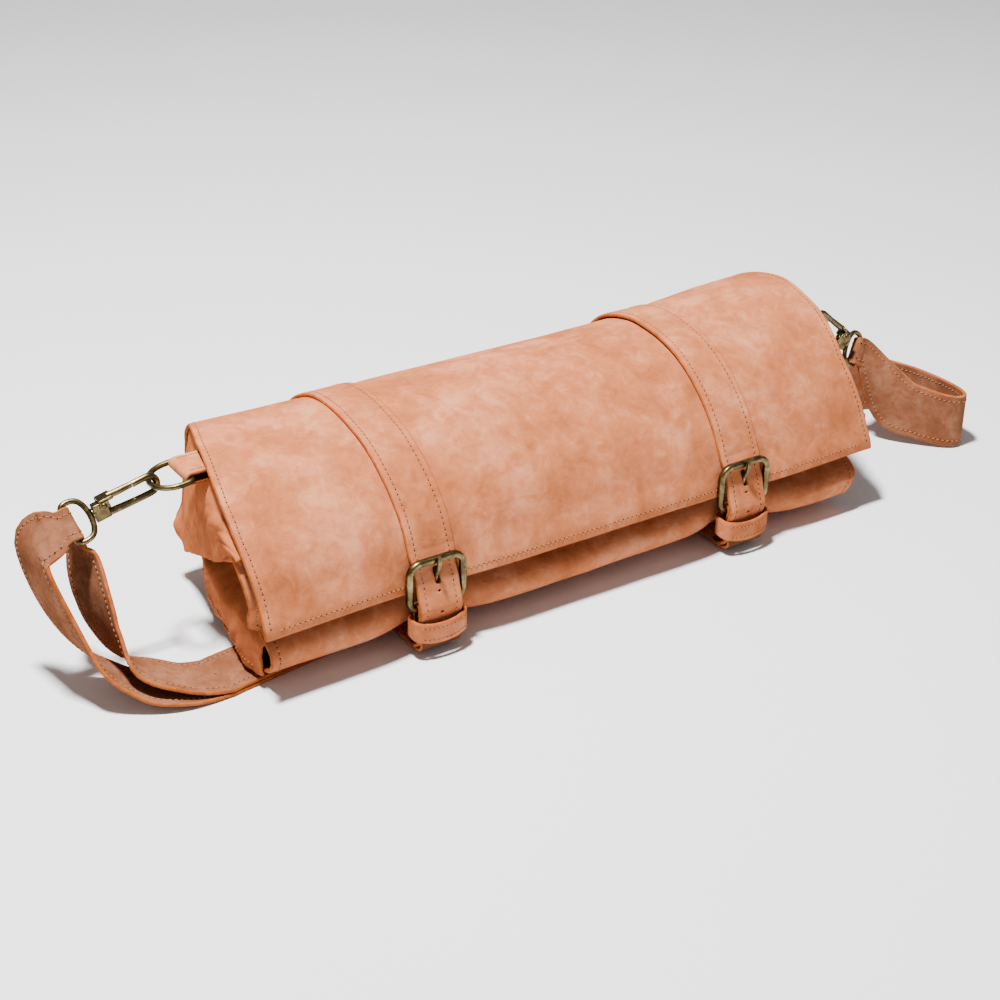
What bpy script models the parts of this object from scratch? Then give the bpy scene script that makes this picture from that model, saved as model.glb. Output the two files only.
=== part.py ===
"""Leather brush roll case with a buckled flap, end wings and a carrying strap.

Metres, +Z up. X runs along the roll, the buckles face -Y, and Z = 0 is the
surface that the case lies on. The origin is the middle of its footprint.
"""

import math

import bmesh
import bpy
from mathutils import Matrix, Vector

# Roll, in cross-section a rounded shape that leans back as it lies.
ROLL_LENGTH = 0.450
HALF_DEPTH = 0.078
HALF_HEIGHT = 0.062
CENTRE_Z = 0.0625
LEAN = 0.25
LEAN_EASE = 0.008
FRONT_SQUARENESS = 7.0
BACK_SQUARENESS = 3.0
LEATHER = 0.0028
GAP = 0.0003
FLAP_EDGE_Z = 0.040
HINGE_Z = 0.045
SHELL_HALF_LENGTH = 0.219
SHELL_BACK_INSET = LEATHER + 0.0005
SHELL_FRONT_INSET = 0.0108
SHELL_BOTTOM_Z = 0.0055
SHELL_START = math.radians(150)
SHELL_END = math.radians(366)

# Panels rolled up inside the shell.
ROLL_HALF_LENGTH = 0.203
ROLL_TURNS = 1.12
ROLL_INSET = 0.0150
ROLL_GROWTH = 0.0042
POCKET_HALF_LENGTH = 0.200
POCKET_TURNS = 0.62
POCKET_INSET = 0.0240
POCKET_THICKNESS = 0.0022

# Wings folded over the ends.
WING_THICKNESS = 0.0024
WING_INSET = 0.0150
UPPER_WING_X = 0.2060
LOWER_WING_X = 0.2100
UPPER_WING_EDGE_Z = 0.050
LOWER_WING_EDGE_Z = 0.066

# Straps on the flap, and what holds them.
STRAP_X = 0.116
STRAP_WIDTH = 0.030
STRAP_THICKNESS = 0.0026
SEWN_END_Z = 0.0670
BILLET_THICKNESS = 0.0024
CHAPE_WIDTH = 0.027
CHAPE_THICKNESS = 0.0018
PRONG_SLOT_HALF = 0.0035

# Buckles: rounded frames on heel bars.
BUCKLE_WIDTH = 0.041
BUCKLE_CORNER = 0.0045
HEEL_Y = -0.0838
HEEL_Z = 0.031
TOP_BAR_Y = -0.0840
TOP_BAR_Z = 0.0615
HEEL_RADIUS = 0.0022
PRONG_RADIUS = 0.0015

KEEPER_Z = 0.0200
KEEPER_HEIGHT = 0.012
KEEPER_WALL = 0.0022
KEEPER_HALF_WIDTH = 0.0164
KEEPER_BACK_Y = -0.0793
KEEPER_FRONT_Y = -0.0905

# Tabs and D-rings at the ends.
TAB_Y = 0.002
TAB_WIDTH = 0.024
TAB_THICKNESS = 0.0018
RING_BAR_X = 0.2335
RING_BAR_Z = 0.1143
RING_WIRE = 0.00175
RING_HALF_WIDTH = 0.0145
RING_DEPTH = 0.021
LEFT_RING_DROOP = math.radians(8)
LEFT_HOOK_DROOP = math.radians(14)
RIGHT_DROOP = math.radians(41)

# Swivel snap hooks, in their own plane: u along the hook, v towards the gate.
HOOK_WIRE = 0.0020
NOSE_RADIUS = 0.0055
NOSE_CENTRE_U = 0.00145
HOOK_TIP_U = 0.0100
BLOCK_START_U = 0.0275
BLOCK_END_U = 0.0365
BLOCK_HALF_V = 0.0058
BLOCK_TOP_V = 0.0052
BLOCK_HALF_Y = 0.0026
BORE_RADIUS = 0.0017
STEM_RADIUS = 0.00135
PIN_U = 0.0300
PIN_V = 0.0035
PIN_RADIUS = 0.0009
EYE_BAR_U = 0.0520
EYE_HALF_WIDTH = 0.0140
EYE_WIRE = 0.00175
LEFT_EYE_TURN = math.radians(-50)
RIGHT_EYE_TURN = math.radians(70)

# Shoulder strap.
BELT_WIDTH = 0.038
BELT_THICKNESS = 0.0024
BELT_LOWER_Z = 0.0012
BELT_UPPER_Z = 0.0039
BELT_LEFT = (-0.2320, -0.0450)
BELT_RIGHT = (0.2320, 0.0200)
SLIDER_X = 0.2560
SLIDER_Z = 0.0068
SLIDER_BAR = 0.0011
SLIDER_PITCH = 0.0160

SEGMENTS = 44


def material(name, colour, roughness, metallic=0.0):
    mat = bpy.data.materials.new(name)
    mat.use_nodes = True
    shader = mat.node_tree.nodes["Principled BSDF"]
    shader.inputs["Base Color"].default_value = (*colour, 1.0)
    shader.inputs["Roughness"].default_value = roughness
    shader.inputs["Metallic"].default_value = metallic
    return mat


def nubuck(name):
    return material(name, (0.55, 0.30, 0.19), 0.8)


def wing_leather(name):
    return material(name, (0.42, 0.15, 0.06), 0.65)


def antique_brass(name):
    return material(name, (0.30, 0.24, 0.12), 0.4, 1.0)


def add_object(name, bm, mat, smooth=True):
    """Make one named object from a bmesh, with its faces pointing out."""
    bmesh.ops.recalc_face_normals(bm, faces=bm.faces)
    mesh = bpy.data.meshes.new(name)
    bm.to_mesh(mesh)
    bm.free()
    obj = bpy.data.objects.new(name, mesh)
    bpy.context.collection.objects.link(obj)
    mesh.materials.append(mat)
    if smooth:
        mesh.shade_smooth()
        mesh.set_sharp_from_angle(angle=math.radians(40))
    return obj


def set_origin(obj, point):
    """Put the object's origin on its joint axis, leaving its shape in place."""
    obj.data.transform(Matrix.Translation(-Vector(point)))
    obj.location = point


def cut(obj, cutter):
    """Subtract a cutter, which stays as a hidden wire guide."""
    cutter.hide_render = True
    cutter.display_type = "WIRE"
    mod = obj.modifiers.new("cut", "BOOLEAN")
    mod.operation = "DIFFERENCE"
    mod.solver = "EXACT"
    mod.object = cutter


def join(obj, extra):
    """Add a second shape to an object's solid."""
    extra.hide_render = True
    extra.display_type = "WIRE"
    mod = obj.modifiers.new("join", "BOOLEAN")
    mod.operation = "UNION"
    mod.solver = "EXACT"
    mod.object = extra


# --- Cross-section of the roll -------------------------------------------


def outline(inset, t):
    """Point (y, z) at angle t on the roll's section; 0 is the back, 90 degrees the top."""
    c, s = math.cos(t), math.sin(t)
    if s < 0:
        power = FRONT_SQUARENESS if c < 0 else BACK_SQUARENESS
        square = (abs(c) ** power + abs(s) ** power) ** (-1 / power)
        c *= square
        s *= square
    z = CENTRE_Z + (HALF_HEIGHT - inset) * s
    rise = z - CENTRE_Z
    if rise < 0:
        rise = LEAN_EASE * (math.exp(rise / LEAN_EASE) - 1)
    return (HALF_DEPTH - inset) * c + LEAN * rise, z


def angle_at_height(z, inset, front):
    """Angle of the outline point below the middle at height z, at the front or back."""
    down = (CENTRE_Z - z) / (HALF_HEIGHT - inset)
    power = FRONT_SQUARENESS if front else BACK_SQUARENESS
    across = (1 - down**power) ** (1 / power)
    angle = math.atan2(down, across)
    return math.pi + angle if front else -angle


def shell_inset(t):
    """How far the shell lies inside the flap: close behind, standing off in front."""
    span = SHELL_FRONT_INSET - SHELL_BACK_INSET
    if math.sin(t) >= 0:
        return SHELL_BACK_INSET + span * (1 - math.cos(t)) / 2
    return SHELL_BACK_INSET + span * max(0.0, -math.cos(t))


def shell_point(t, extra=0.0):
    y, z = outline(shell_inset(t) + extra, t)
    return y, max(z, SHELL_BOTTOM_Z + extra)


def steps(first, last, count):
    return [first + (last - first) * i / count for i in range(count + 1)]


def band(name, outer, inner, x0, x1, mat):
    """A bent panel: the strip between two matching (y, z) lines, from x0 to x1."""
    bm = bmesh.new()
    rows = [[bm.verts.new((x, y, z)) for y, z in line] for x in (x0, x1) for line in (outer, inner)]
    near_out, near_in, far_out, far_in = rows
    last = len(outer) - 1
    for i in range(last):
        j = i + 1
        bm.faces.new((near_out[i], near_out[j], far_out[j], far_out[i]))
        bm.faces.new((near_in[j], near_in[i], far_in[i], far_in[j]))
        bm.faces.new((near_out[j], near_out[i], near_in[i], near_in[j]))
        bm.faces.new((far_out[i], far_out[j], far_in[j], far_in[i]))
    for i in (0, last):
        bm.faces.new((near_out[i], far_out[i], far_in[i], near_in[i]))
    return add_object(name, bm, mat)


def offset_line(line, distance):
    """A (y, z) line moved sideways by a distance, to its left."""
    moved = []
    for i, (y, z) in enumerate(line):
        y0, z0 = line[max(i - 1, 0)]
        y1, z1 = line[min(i + 1, len(line) - 1)]
        length = math.hypot(y1 - y0, z1 - z0)
        moved.append((y - (z1 - z0) / length * distance, z + (y1 - y0) / length * distance))
    return moved


def smooth_line(points, per_span=5):
    """A Catmull-Rom curve through points of any dimension."""
    ends = [points[0], *points, points[-1]]
    line = []
    for i in range(len(points) - 1):
        p0, p1, p2, p3 = (Vector(p) for p in ends[i : i + 4])
        for k in range(per_span):
            t = k / per_span
            value = p1 * 2 + (p2 - p0) * t
            value += (p0 * 2 - p1 * 5 + p2 * 4 - p3) * t * t
            value += (p1 * 3 - p0 - p2 * 3 + p3) * t * t * t
            line.append(value / 2)
    line.append(Vector(points[-1]))
    return line


def strip(name, line, width, thickness, centre_x, mat):
    """A leather strip of constant width in X along a (y, z) centreline."""
    outer = offset_line(line, thickness / 2)
    inner = offset_line(line, -thickness / 2)
    return band(name, outer, inner, centre_x - width / 2, centre_x + width / 2, mat)


def ribbon(name, stations, thickness, mat, per_span=5):
    """A strap through stations of (point, width direction, width), which may twist."""
    points = smooth_line([s[0] for s in stations], per_span)
    widths = smooth_line([Vector(s[1]).normalized() * s[2] for s in stations], per_span)
    bm = bmesh.new()
    rings = []
    for i, point in enumerate(points):
        along = points[min(i + 1, len(points) - 1)] - points[max(i - 1, 0)]
        along.normalize()
        across = widths[i] - along * widths[i].dot(along)
        across = across.normalized() * widths[i].length / 2
        up = along.cross(across).normalized() * thickness / 2
        corners = (point + across + up, point - across + up, point - across - up, point + across - up)
        rings.append([bm.verts.new(c) for c in corners])
    for ring, following in zip(rings, rings[1:]):
        for k in range(4):
            m = (k + 1) % 4
            bm.faces.new((ring[k], ring[m], following[m], following[k]))
    bm.faces.new(rings[0])
    bm.faces.new(reversed(rings[-1]))
    return add_object(name, bm, mat)


def wire(name, points, radius, mat, closed=False, sides=10):
    """A round wire swept along points, with flat ends unless it is closed."""
    bm = bmesh.new()
    count = len(points)
    normal = None
    rings = []
    for i, point in enumerate(points):
        if closed:
            along = points[(i + 1) % count] - points[i - 1]
        else:
            along = points[min(i + 1, count - 1)] - points[max(i - 1, 0)]
        along.normalize()
        if normal is None:
            normal = along.orthogonal().normalized()
        normal = (normal - along * normal.dot(along)).normalized()
        side = along.cross(normal)
        ring = []
        for k in range(sides):
            a = 2 * math.pi * k / sides
            ring.append(bm.verts.new(point + normal * math.cos(a) * radius + side * math.sin(a) * radius))
        rings.append(ring)
    pairs = list(zip(rings, rings[1:]))
    if closed:
        pairs.append((rings[-1], rings[0]))
    for ring, following in pairs:
        for k in range(sides):
            m = (k + 1) % sides
            bm.faces.new((ring[k], ring[m], following[m], following[k]))
    if not closed:
        bm.faces.new(rings[0])
        bm.faces.new(reversed(rings[-1]))
    return add_object(name, bm, mat)


def cylinder(name, start, end, radius, mat, sides=16):
    return wire(name, [Vector(start), Vector(end)], radius, mat, sides=sides)


def box(name, low, high, mat, frame=None):
    """A box between two corners, in world axes or in a given frame."""
    bm = bmesh.new()
    bmesh.ops.create_cube(bm, size=1.0)
    size = Vector(high) - Vector(low)
    middle = (Vector(high) + Vector(low)) / 2
    bmesh.ops.scale(bm, vec=size, verts=bm.verts)
    bmesh.ops.translate(bm, vec=middle, verts=bm.verts)
    if frame is not None:
        bmesh.ops.transform(bm, matrix=frame, verts=bm.verts)
    return add_object(name, bm, mat, smooth=False)


def rounded_rectangle(half_x, low_z, high_z, radius, per_corner=5):
    """Points (x, z) round a rectangle with rounded corners."""
    points = []
    corners = (
        (half_x, high_z, 0),
        (-half_x, high_z, 90),
        (-half_x, low_z, 180),
        (half_x, low_z, 270),
    )
    for x, z, start in corners:
        cx = x - math.copysign(radius, x)
        cz = z + (radius if z == low_z else -radius)
        for k in range(per_corner + 1):
            a = math.radians(start + 90 * k / per_corner)
            points.append((cx + radius * math.cos(a), cz + radius * math.sin(a)))
    return points


# --- Roll -------------------------------------------------------------------


def make_shell():
    angles = steps(SHELL_START, SHELL_END, 2 * SEGMENTS)
    outer = [shell_point(t) for t in angles]
    inner = [shell_point(t, LEATHER) for t in angles]
    band("outer_shell", outer, inner, -SHELL_HALF_LENGTH, SHELL_HALF_LENGTH, nubuck("outer_shell"))


def make_spiral(name, half_length, turns, inset, growth, thickness, start, mat):
    """A panel rolled inwards from a start angle."""
    angles = steps(start, start + 2 * math.pi * turns, int(2 * SEGMENTS * turns))
    insets = [inset + growth * (t - start) / (2 * math.pi) for t in angles]
    outer = [outline(i, t) for i, t in zip(insets, angles)]
    inner = [outline(i + thickness, t) for i, t in zip(insets, angles)]
    band(name, outer, inner, -half_length, half_length, mat)


def make_inner_panels():
    make_spiral(
        "inner_roll", ROLL_HALF_LENGTH, ROLL_TURNS, ROLL_INSET, ROLL_GROWTH,
        LEATHER, math.radians(120), wing_leather("inner_roll"),
    )
    make_spiral(
        "pocket_panel", POCKET_HALF_LENGTH, POCKET_TURNS, POCKET_INSET, 0.0,
        POCKET_THICKNESS, math.radians(175), wing_leather("pocket_panel"),
    )


def make_wing(name, side, x, low_z, high_z):
    """A flat end flap cut from the roll's section between two heights."""
    points = [outline(WING_INSET, t) for t in steps(0, 2 * math.pi, 2 * SEGMENTS)][:-1]
    points = [(y, min(max(z, low_z), high_z)) for y, z in points]
    kept = []
    for point in points:
        if not kept or math.dist(point, kept[-1]) > 1e-5:
            kept.append(point)
    near_x, far_x = sorted((side * x, side * (x + WING_THICKNESS)))
    bm = bmesh.new()
    near = [bm.verts.new((near_x, y, z)) for y, z in kept]
    far = [bm.verts.new((far_x, y, z)) for y, z in kept]
    for i in range(len(kept)):
        bm.faces.new((near[i - 1], near[i], far[i], far[i - 1]))
    bm.faces.new(reversed(near))
    bm.faces.new(far)
    add_object(name, bm, wing_leather(name), smooth=False)


def make_wings():
    top = CENTRE_Z + HALF_HEIGHT
    for word, side in (("left", -1), ("right", 1)):
        make_wing(f"wing_{word}_upper", side, UPPER_WING_X, UPPER_WING_EDGE_Z, top)
        make_wing(f"wing_{word}_lower", side, LOWER_WING_X, 0.0, LOWER_WING_EDGE_Z)


# --- Flap and its straps -----------------------------------------------------


def flap_angles(low_front, count=2 * SEGMENTS):
    first = angle_at_height(HINGE_Z, 0.0, front=False)
    return steps(first, low_front, count)


def make_flap():
    angles = flap_angles(angle_at_height(FLAP_EDGE_Z, 0.0, front=True))
    outer = [outline(0.0, t) for t in angles]
    inner = [outline(LEATHER, t) for t in angles]
    half = ROLL_LENGTH / 2
    flap = band("flap", outer, inner, -half, half, nubuck("flap"))
    set_origin(flap, (0, *outer[0]))
    return flap


def make_flap_strap(word, x):
    """The sewn strap from the back over the top, down to just above the buckle."""
    front = math.pi - math.asin((SEWN_END_Z - CENTRE_Z) / HALF_HEIGHT)
    angles = steps(math.radians(4), front, SEGMENTS)
    outer = [outline(-GAP - STRAP_THICKNESS, t) for t in angles]
    inner = [outline(-GAP, t) for t in angles]
    name = f"flap_strap_{word}"
    strap = band(name, outer, inner, x - STRAP_WIDTH / 2, x + STRAP_WIDTH / 2, nubuck(name))
    return strap


def make_billet(word, x):
    """The free tail: under the top bar, over the heel bar, through the keeper, curled under."""
    half = BILLET_THICKNESS / 2
    y_top, z_top = outline(-GAP - half, math.pi - math.asin((SEWN_END_Z - 0.0015 - CENTRE_Z) / HALF_HEIGHT))
    route = [
        (y_top, z_top),
        (-0.0805, 0.0605),
        (-0.0815, 0.0550),
        (-0.0848, 0.0480),
        (-0.0868, 0.0410),
        (-0.0897, 0.0330),
        (-0.0897, 0.0300),
        (-0.0886, 0.0265),
        (-0.0876, 0.0225),
        (-0.0876, 0.0170),
        (-0.0873, 0.0130),
        (-0.0850, 0.0080),
        (-0.0780, 0.0038),
        (-0.0700, 0.0030),
    ]
    name = f"billet_{word}"
    billet = strip(name, smooth_line(route, 4), STRAP_WIDTH - 0.002, BILLET_THICKNESS, x, nubuck(name))
    slot = box(
        f"slot_cutter_{word}",
        (x - PRONG_RADIUS - 0.0007, -0.100, 0.0425),
        (x + PRONG_RADIUS + 0.0007, -0.060, 0.0585),
        nubuck(f"slot_cutter_{word}"),
    )
    cut(billet, slot)
    return billet


def make_chape(word, x):
    """The short strap from the shell's lower front, folded round the heel bar."""
    half = CHAPE_THICKNESS / 2
    wrap = HEEL_RADIUS + GAP + half
    along = [shell_point(t, -GAP - half) for t in steps(math.radians(235), math.radians(229), 2)]
    rise = [(-0.0660, 0.0052), (-0.0755, 0.0070), (-0.0800, 0.0115), (-0.0807, 0.0165), (-0.0806, 0.0240)]
    turn = [
        (HEEL_Y - wrap * math.cos(a), HEEL_Z + wrap * math.sin(a))
        for a in steps(math.radians(188), math.radians(-14), 9)
    ]
    back = [(-0.0853, 0.0240), (-0.0829, 0.0190), (-0.0829, 0.0145)]
    line = smooth_line(along + rise, 3) + [Vector(p) for p in turn] + smooth_line(back, 3)
    name = f"chape_{word}"
    chape = strip(name, line, CHAPE_WIDTH, CHAPE_THICKNESS, x, nubuck(name))
    slot = box(
        f"chape_cutter_{word}",
        (x - PRONG_SLOT_HALF, HEEL_Y - 0.012, HEEL_Z - 0.0075),
        (x + PRONG_SLOT_HALF, HEEL_Y + 0.012, HEEL_Z + 0.0080),
        nubuck(f"chape_cutter_{word}"),
    )
    cut(chape, slot)
    return chape


# --- Buckles -------------------------------------------------------------------


def make_buckle(word, x):
    """A rounded cast frame whose lowest side is the heel bar."""
    half = BUCKLE_WIDTH / 2 - HEEL_RADIUS
    rise = TOP_BAR_Z - HEEL_Z
    lean = (TOP_BAR_Y - HEEL_Y) / rise
    points = [
        Vector((x + px, HEEL_Y + lean * pz, HEEL_Z + pz))
        for px, pz in rounded_rectangle(half, 0.0, rise, BUCKLE_CORNER)
    ]
    name = f"buckle_{word}"
    frame = wire(name, points, HEEL_RADIUS, antique_brass(name), closed=True, sides=12)
    set_origin(frame, (x, HEEL_Y, HEEL_Z))
    return frame


def make_prong(word, x):
    """A rod from an open eye round the heel bar, up through the billet, onto the top bar."""
    eye = HEEL_RADIUS + GAP + PRONG_RADIUS
    turn = [
        (HEEL_Y - eye * math.cos(a), HEEL_Z + eye * math.sin(a))
        for a in steps(math.radians(300), math.radians(70), 14)
    ]
    rod = [
        (-0.0836, 0.0390),
        (-0.0832, 0.0440),
        (-0.0840, 0.0500),
        (-0.0862, 0.0550),
        (-0.0878, 0.0590),
        (-0.0882, 0.0620),
        (-0.0877, 0.0655),
    ]
    line = [Vector(p) for p in turn] + smooth_line(rod, 3)
    points = [Vector((x, p[0], p[1])) for p in line]
    name = f"prong_{word}"
    prong = wire(name, points, PRONG_RADIUS, antique_brass(name))
    set_origin(prong, (x, HEEL_Y, HEEL_Z))
    return prong


def make_keeper(word, x):
    """A leather loop round the chape and the billet."""
    half = KEEPER_HALF_WIDTH
    bm = bmesh.new()
    low = KEEPER_Z - KEEPER_HEIGHT / 2
    high = KEEPER_Z + KEEPER_HEIGHT / 2
    loops = []
    for z in (low, high):
        for grow in (0.0, KEEPER_WALL):
            corners = (
                (x - half - grow, KEEPER_BACK_Y + grow),
                (x + half + grow, KEEPER_BACK_Y + grow),
                (x + half + grow, KEEPER_FRONT_Y - grow),
                (x - half - grow, KEEPER_FRONT_Y - grow),
            )
            loops.append([bm.verts.new((cx, cy, z)) for cx, cy in corners])
    low_in, low_out, high_in, high_out = loops
    for k in range(4):
        m = (k + 1) % 4
        bm.faces.new((low_in[k], low_in[m], high_in[m], high_in[k]))
        bm.faces.new((low_out[m], low_out[k], high_out[k], high_out[m]))
        bm.faces.new((low_in[m], low_in[k], low_out[k], low_out[m]))
        bm.faces.new((high_in[k], high_in[m], high_out[m], high_out[k]))
    name = f"keeper_{word}"
    return add_object(name, bm, nubuck(name), smooth=False)


# --- Tabs, rings and snap hooks ----------------------------------------------------


def make_tab(word, side):
    """A leather loop from under the flap's end, folded round the D-ring's bar."""
    half = TAB_THICKNESS / 2
    wrap = RING_WIRE + GAP + half
    top_z = RING_BAR_Z + wrap
    low_z = RING_BAR_Z - wrap
    line = [(0.1900, top_z - 0.0012), (0.2050, top_z - 0.0008), (0.2200, top_z - 0.0002)]
    line += [
        (RING_BAR_X + wrap * math.sin(a), RING_BAR_Z + wrap * math.cos(a))
        for a in steps(0, math.pi, 8)
    ]
    line += [(0.2240, low_z), (0.2196, low_z)]
    stations = [(Vector((side * px, TAB_Y, pz)), (0, 1, 0), TAB_WIDTH) for px, pz in line]
    name = f"ring_tab_{word}"
    return ribbon(name, stations, TAB_THICKNESS, nubuck(name), per_span=1)


def make_d_ring(word, side, droop):
    """A D-ring: its bar lies in the tab's fold, its bow hangs outwards."""
    half = RING_HALF_WIDTH
    out = Vector((side * math.cos(droop), 0, -math.sin(droop)))
    bar = Vector((side * RING_BAR_X, TAB_Y, RING_BAR_Z))
    points = [bar + Vector((0, y, 0)) for y in steps(-half + 0.002, half - 0.002, 4)]
    straight = RING_DEPTH - half
    points.append(bar + Vector((0, half, 0)) + out * 0.002)
    for a in steps(0, math.pi, 14):
        points.append(bar + Vector((0, half * math.cos(a), 0)) + out * (straight + half * math.sin(a)))
    points.append(bar + Vector((0, -half, 0)) + out * 0.002)
    name = f"d_ring_{word}"
    ring = wire(name, points, RING_WIRE, antique_brass(name), closed=True)
    set_origin(ring, bar)
    return bar + out * RING_DEPTH


def hook_frame(contact, side, droop):
    """Matrix from hook axes (u, y, v) to the world: u along the hook, v to the gate."""
    u = Vector((side * math.cos(droop), 0, -math.sin(droop)))
    v = Vector((side * math.sin(droop), 0, math.cos(droop)))
    y = v.cross(u)
    rows = Matrix((u, y, v)).transposed().to_4x4()
    return Matrix.Translation(contact) @ rows


def place(matrix, u, y, v):
    return matrix @ Vector((u, y, v))


def make_hook(word, matrix):
    """The hook's bow and spine, on a block bored for the swivel and the gate's rivet."""
    bow = [(HOOK_TIP_U, NOSE_RADIUS), (0.0050, NOSE_RADIUS)]
    for a in steps(math.radians(90), math.radians(270), 12):
        bow.append((NOSE_CENTRE_U + NOSE_RADIUS * math.cos(a), NOSE_RADIUS * math.sin(a)))
    bow += [(0.0100, -0.0053), (0.0190, -0.0048), (0.0290, -0.0042)]
    points = [place(matrix, u, 0, v) for u, v in bow]
    name = f"snap_hook_{word}"
    mat = antique_brass(name)
    hook = wire(name, points, HOOK_WIRE, mat)
    block = box(
        f"block_{word}",
        (BLOCK_START_U, -BLOCK_HALF_Y, -BLOCK_HALF_V),
        (BLOCK_END_U, BLOCK_HALF_Y, BLOCK_TOP_V),
        mat,
        matrix,
    )
    join(hook, block)
    bore = cylinder(
        f"bore_{word}",
        place(matrix, BLOCK_START_U - 0.0005, 0, 0),
        place(matrix, BLOCK_END_U + 0.001, 0, 0),
        BORE_RADIUS,
        mat,
    )
    cut(hook, bore)
    hole = cylinder(
        f"rivet_hole_{word}",
        place(matrix, PIN_U, -0.006, PIN_V),
        place(matrix, PIN_U, 0.006, PIN_V),
        PIN_RADIUS + GAP,
        mat,
    )
    cut(hook, hole)
    return hook


def make_gate(word, matrix):
    """The sprung gate: a lever over the block with a cheek each side of it."""
    name = f"hook_gate_{word}"
    mat = antique_brass(name)
    inner = BLOCK_HALF_Y + GAP
    outer = inner + 0.0011
    top = BLOCK_TOP_V + 4 * GAP
    gate = box(
        name,
        (HOOK_TIP_U + 2 * GAP, -outer, NOSE_RADIUS - 0.0017),
        (0.0325, outer, top + 0.0009),
        mat,
        matrix,
    )
    channel = box(
        f"gate_channel_{word}", (0.0250, -inner, 0.0), (0.0400, inner, top), mat, matrix
    )
    cheeks = box(
        f"gate_cheeks_{word}", (0.0270, -outer, 0.0012), (0.0325, outer, NOSE_RADIUS), mat, matrix
    )
    join(gate, cheeks)
    cut(gate, channel)
    hole = cylinder(
        f"gate_hole_{word}",
        place(matrix, PIN_U, -0.006, PIN_V),
        place(matrix, PIN_U, 0.006, PIN_V),
        PIN_RADIUS + GAP,
        mat,
    )
    cut(gate, hole)
    return gate


def make_rivet(word, matrix):
    """The gate's rivet, with a head each side."""
    outer = BLOCK_HALF_Y + GAP + 0.0011 + GAP
    name = f"gate_rivet_{word}"
    mat = antique_brass(name)
    rivet = cylinder(
        name,
        place(matrix, PIN_U, -outer - 0.0006, PIN_V),
        place(matrix, PIN_U, outer + 0.0006, PIN_V),
        PIN_RADIUS,
        mat,
    )
    for sign in (-1, 1):
        head = cylinder(
            f"rivet_head_{word}_{sign}",
            place(matrix, PIN_U, sign * outer, PIN_V),
            place(matrix, PIN_U, sign * (outer + 0.0008), PIN_V),
            0.0018,
            mat,
        )
        join(rivet, head)
    return rivet


def make_eye(word, matrix, turn):
    """The swivel eye: a headed stem through the block and a wire loop for the strap."""
    name = f"swivel_eye_{word}"
    mat = antique_brass(name)
    stem = cylinder(
        name,
        place(matrix, BLOCK_START_U - 0.0010, 0, 0),
        place(matrix, BLOCK_END_U + 0.0014, 0, 0),
        STEM_RADIUS,
        mat,
    )
    head = cylinder(
        f"stem_head_{word}",
        place(matrix, BLOCK_START_U - 0.0018, 0, 0),
        place(matrix, BLOCK_START_U - 0.0004, 0, 0),
        0.0019,
        mat,
    )
    across = (math.cos(turn), math.sin(turn))
    half = EYE_HALF_WIDTH - EYE_WIRE
    first_u = BLOCK_END_U + GAP + EYE_WIRE
    loop = [(first_u, 0.0), (first_u + 0.0005, 0.5 * half), (first_u + 0.0035, 0.9 * half)]
    loop += [(first_u + 0.0080, half), (EYE_BAR_U - 0.0030, half), (EYE_BAR_U - 0.0007, half - 0.0012)]
    loop += [(EYE_BAR_U, half - 0.0040), (EYE_BAR_U, 0.0)]
    mirrored = [(u, -w) for u, w in reversed(loop[1:-1])]
    points = [place(matrix, u, w * across[0], w * across[1]) for u, w in loop + mirrored]
    ring = wire(f"eye_loop_{word}", points, EYE_WIRE, mat, closed=True)
    join(stem, ring)
    join(stem, head)
    return stem


# --- Shoulder strap ---------------------------------------------------------------------


def belt_direction():
    along = Vector((BELT_RIGHT[0] - BELT_LEFT[0], BELT_RIGHT[1] - BELT_LEFT[1], 0))
    return along.normalized()


def belt_point(x, z):
    """A point on the strap's straight line under the roll."""
    share = (x - BELT_LEFT[0]) / (BELT_RIGHT[0] - BELT_LEFT[0])
    return Vector((x, BELT_LEFT[1] + share * (BELT_RIGHT[1] - BELT_LEFT[1]), z))


def run(name, x0, x1, z):
    across = belt_direction().cross(Vector((0, 0, 1)))
    stations = [(belt_point(x, z), across, BELT_WIDTH) for x in (x0, (x0 + x1) / 2, x1)]
    return ribbon(name, stations, BELT_THICKNESS, nubuck(name), per_span=1)


def make_belt_under():
    run("strap_lower_run", BELT_LEFT[0], BELT_RIGHT[0], BELT_LOWER_Z)
    run("strap_upper_run", BELT_LEFT[0], BELT_RIGHT[0], BELT_UPPER_Z)


def eye_wrap(matrix, turn):
    """The eye's bar: its middle, the way out from it, its direction, and the side above it."""
    bar = place(matrix, EYE_BAR_U, 0, 0)
    out = place(matrix, 1, 0, 0) - place(matrix, 0, 0, 0)
    across = place(matrix, 0, math.cos(turn), math.sin(turn)) - place(matrix, 0, 0, 0)
    if across.z < 0:
        across = -across
    return bar, out, across


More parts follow.
